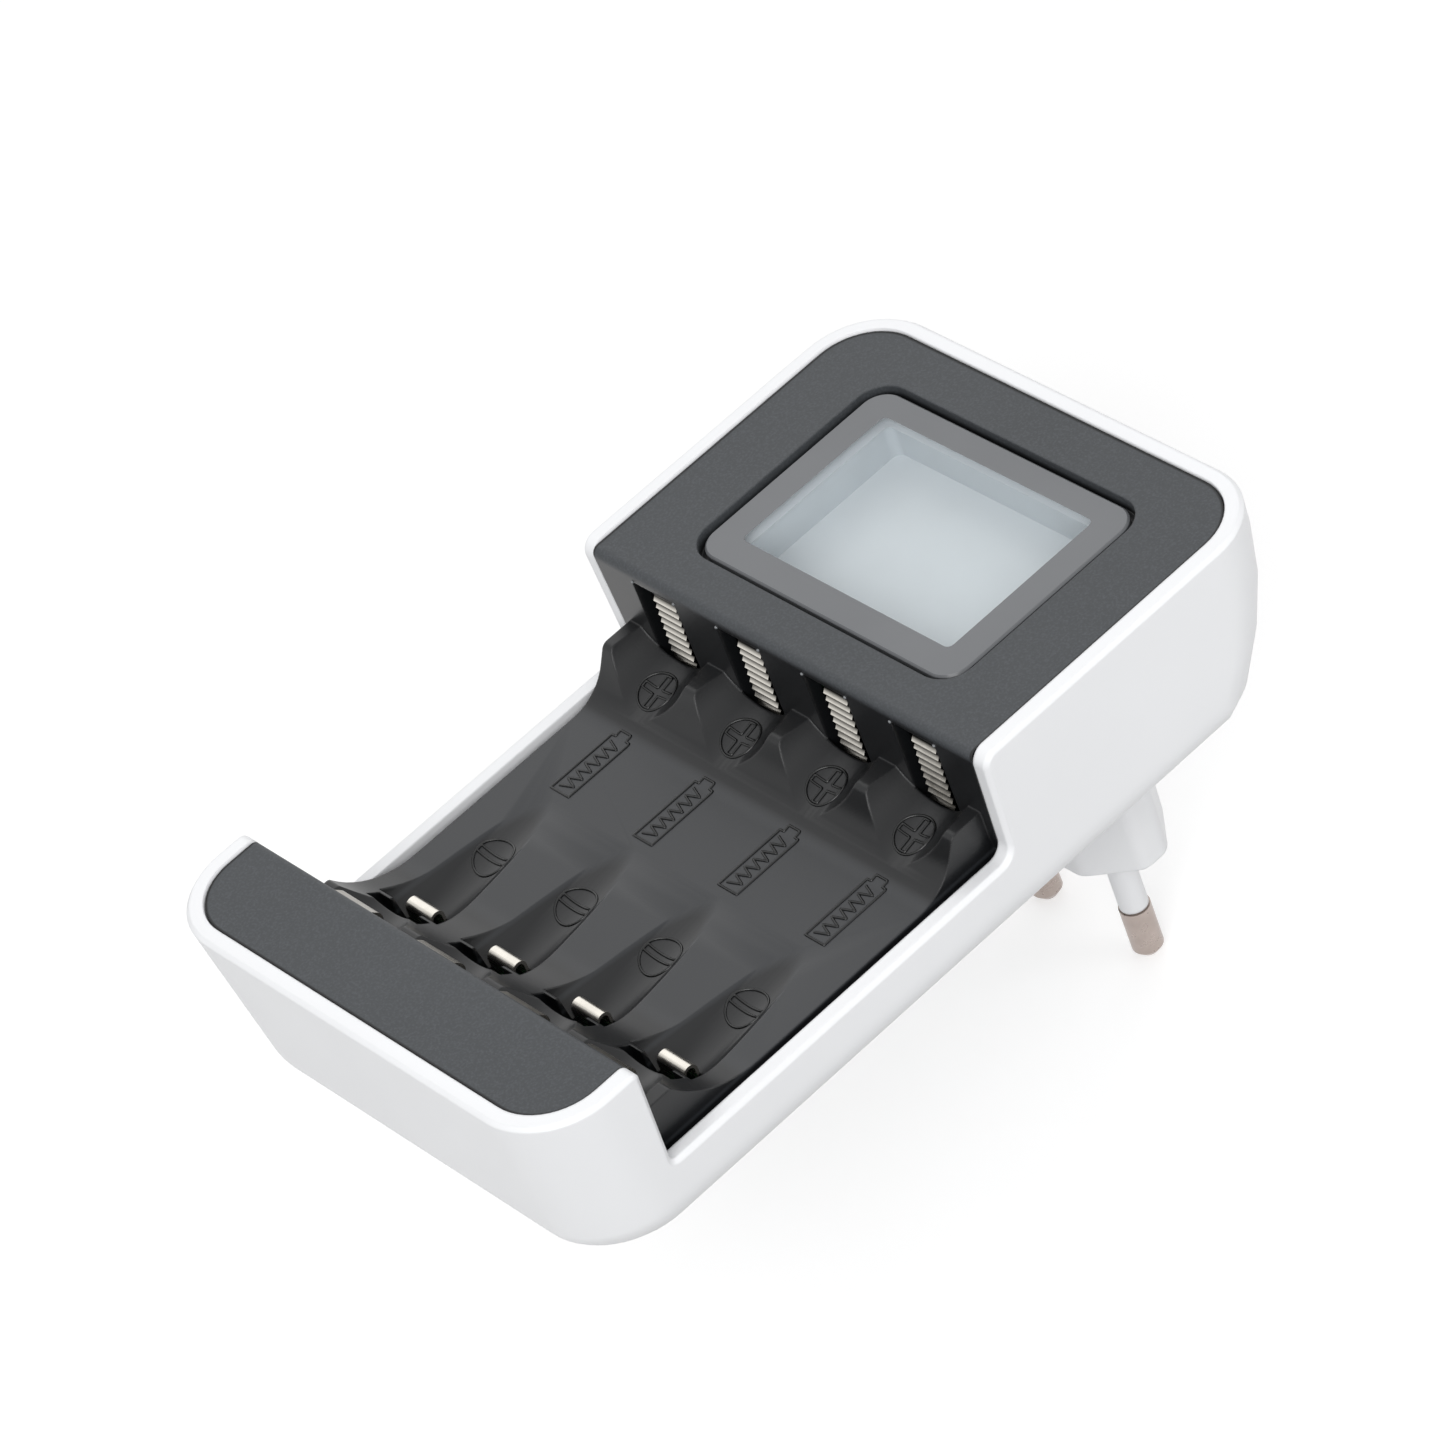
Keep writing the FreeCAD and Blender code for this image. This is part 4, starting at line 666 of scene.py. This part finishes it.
def light_world():
    """White surround: plain white where it is seen, and as light brightest overhead."""
    world = bpy.data.worlds.new("white_surround")
    bpy.context.scene.world = world
    world.use_nodes = True
    tree = world.node_tree
    tree.nodes.clear()
    direction = node(tree, "ShaderNodeTexCoord").outputs["Generated"]
    height = node(tree, "ShaderNodeSeparateXYZ", links={"Vector": direction}).outputs["Z"]
    level = node(tree, "ShaderNodeMapRange", links={
        "Value": height, "From Min": 0.0, "From Max": 1.0, "To Min": HORIZON_LEVEL, "To Max": ZENITH_LEVEL})
    soft = node(tree, "ShaderNodeBackground", links={
        "Color": PLAIN_WHITE, "Strength": level.outputs["Result"]})
    plain = node(tree, "ShaderNodeBackground", links={"Color": PLAIN_WHITE, "Strength": 1.0})
    mixed = node(tree, "ShaderNodeMixShader", links={
        0: seen_directly(tree), 1: soft.outputs[0], 2: plain.outputs[0]})
    node(tree, "ShaderNodeOutputWorld", links={"Surface": mixed.outputs[0]})


def lay_floor():
    """Pale floor at the pins' tips: white but for the charger's soft shadow, and clear from below."""
    material, tree = new_material("matt_white_paper")
    lit = node(tree, "ShaderNodeBsdfDiffuse", links={"Color": linear("9A9A9A")})
    shaded = node(tree, "ShaderNodeBsdfDiffuse", links={"Color": linear("D2D2D2")})
    glow = node(tree, "ShaderNodeEmission", links={"Color": PLAIN_WHITE, "Strength": FLOOR_GLOW})
    paper = node(tree, "ShaderNodeAddShader", links={0: shaded.outputs[0], 1: glow.outputs[0]})
    upper = node(tree, "ShaderNodeMixShader", links={
        0: seen_directly(tree), 1: lit.outputs[0], 2: paper.outputs[0]})
    clear = node(tree, "ShaderNodeBsdfTransparent")
    below = node(tree, "ShaderNodeNewGeometry").outputs["Backfacing"]
    both = node(tree, "ShaderNodeMixShader", links={0: below, 1: upper.outputs[0], 2: clear.outputs[0]})
    finish_with(tree, both.outputs[0])
    work = bmesh.new()
    bmesh.ops.create_grid(work, x_segments=1, y_segments=1, size=FLOOR_SIZE)
    mesh = bpy.data.meshes.new("floor")
    work.to_mesh(mesh)
    work.free()
    mesh.transform(Matrix.Translation((0, 0, CAD_BOX[0].z)))
    mesh.materials.append(material)
    floor = bpy.data.objects.new("floor", mesh)
    bpy.context.scene.collection.objects.link(floor)


# The scene: surround, then each piece with its finish

place_camera()
light_world()
lay_floor()
for lamp in LAMPS:
    softbox(*lamp)

white = white_abs()
grey = grey_abs()
smooth_copy("shell_skin", "rear_shell", white, cutter=bottom_edge_cutter())
cover = smooth_copy("cover_skin", "front_cover", grey)
dress(printed_lens(), "display_lens")
dress(plain_plastic("light_grey_abs", "B6BCC1", "BCC2C7", 0.45), "lcd_holder", "light_guide")
dress(display_glass(), "lcd_glass")
dress(plain_plastic("solder_masked_board", "1E5A33", "23613A", 0.35), "control_board", "charger_board")
dress(plain_plastic("black_moulding_resin", "1C1D1E", "232425", 0.5),
      "control_chip", "switching_controller", "rectifier_diodes", "board_header")
dress(plain_plastic("connector_rubber", "26282A", "2B2D2F", 0.7), "lcd_connector")
dress(plain_plastic("sintered_ferrite", "3A3B3D", "424345", 0.6), "transformer_core")
dress(plain_plastic("polyester_tape", "C9A227", "D2AC30", 0.35),
      "transformer_coil", "suppression_capacitor")
dress(plain_plastic("capacitor_sleeve", "1D2740", "232E4B", 0.3), "mains_capacitor", "output_capacitors")
dress(white, "plug_insert")
dress(metal("zinc_plated_steel", "A9ABAD", "B4B6B8", 0.34), "case_screws", "board_screws")
dress(metal("tinned_brass", "B5B2AC", "BFBCB6", 0.3), "pin_lead_left", "pin_lead_right")
nickel = metal("nickel_plated_strip", "C9C5BD", "D6D2CA", 0.26, line=0.12 * MM)
# Painted shade: the nose springs take a darker copy of the same nickel so that their edges under the toe
# panel stay dim.
shaded_nickel = metal("nickel_plated_strip_painted_shade", "8F8B84", "9D9992", 0.3, line=0.12 * MM)
ribbed = metal("nickel_plated_ribbed_strip", "D6D2CA", "DEDAD2", 0.22,
               ribs=(RIB_CREST, RIB_VALLEY, STRIP_LEAN))
for number in NUMBERS:
    smooth_copy(f"plus_strip_{number}", f"plus_contact_{number}", ribbed)
    smooth_copy(f"nose_spring_{number}", f"large_cell_spring_{number}", shaded_nickel)
    smooth_copy(f"tab_spring_{number}", f"small_cell_spring_{number}", nickel)
pin_metal = metal("nickel_plated_brass", "B0A39C", "BAADA6", 0.3, metallic=0.7, grit=0.0008 * MM)
for side in ("left", "right"):
    smooth_copy(f"pin_{side}", f"plug_pin_{side}", pin_metal)
    smooth_copy(f"sleeve_{side}", f"pin_sleeve_{side}", white)
# The signs are a glossier grey than the tray, a finish, and darker, painted shade for the shaded side of a
# raised line.
tray_marks(cover, plain_plastic("polished_tray_abs_painted_shade", "0C0D0E", "101112", 0.26))
# Painted highlight: the beads are a paler, glossier grey than the cover.
slot_beads(plain_plastic("grey_abs_painted_highlight", "75787B", "7E8184", 0.18))

bpy.context.scene.view_settings.view_transform = "Standard"
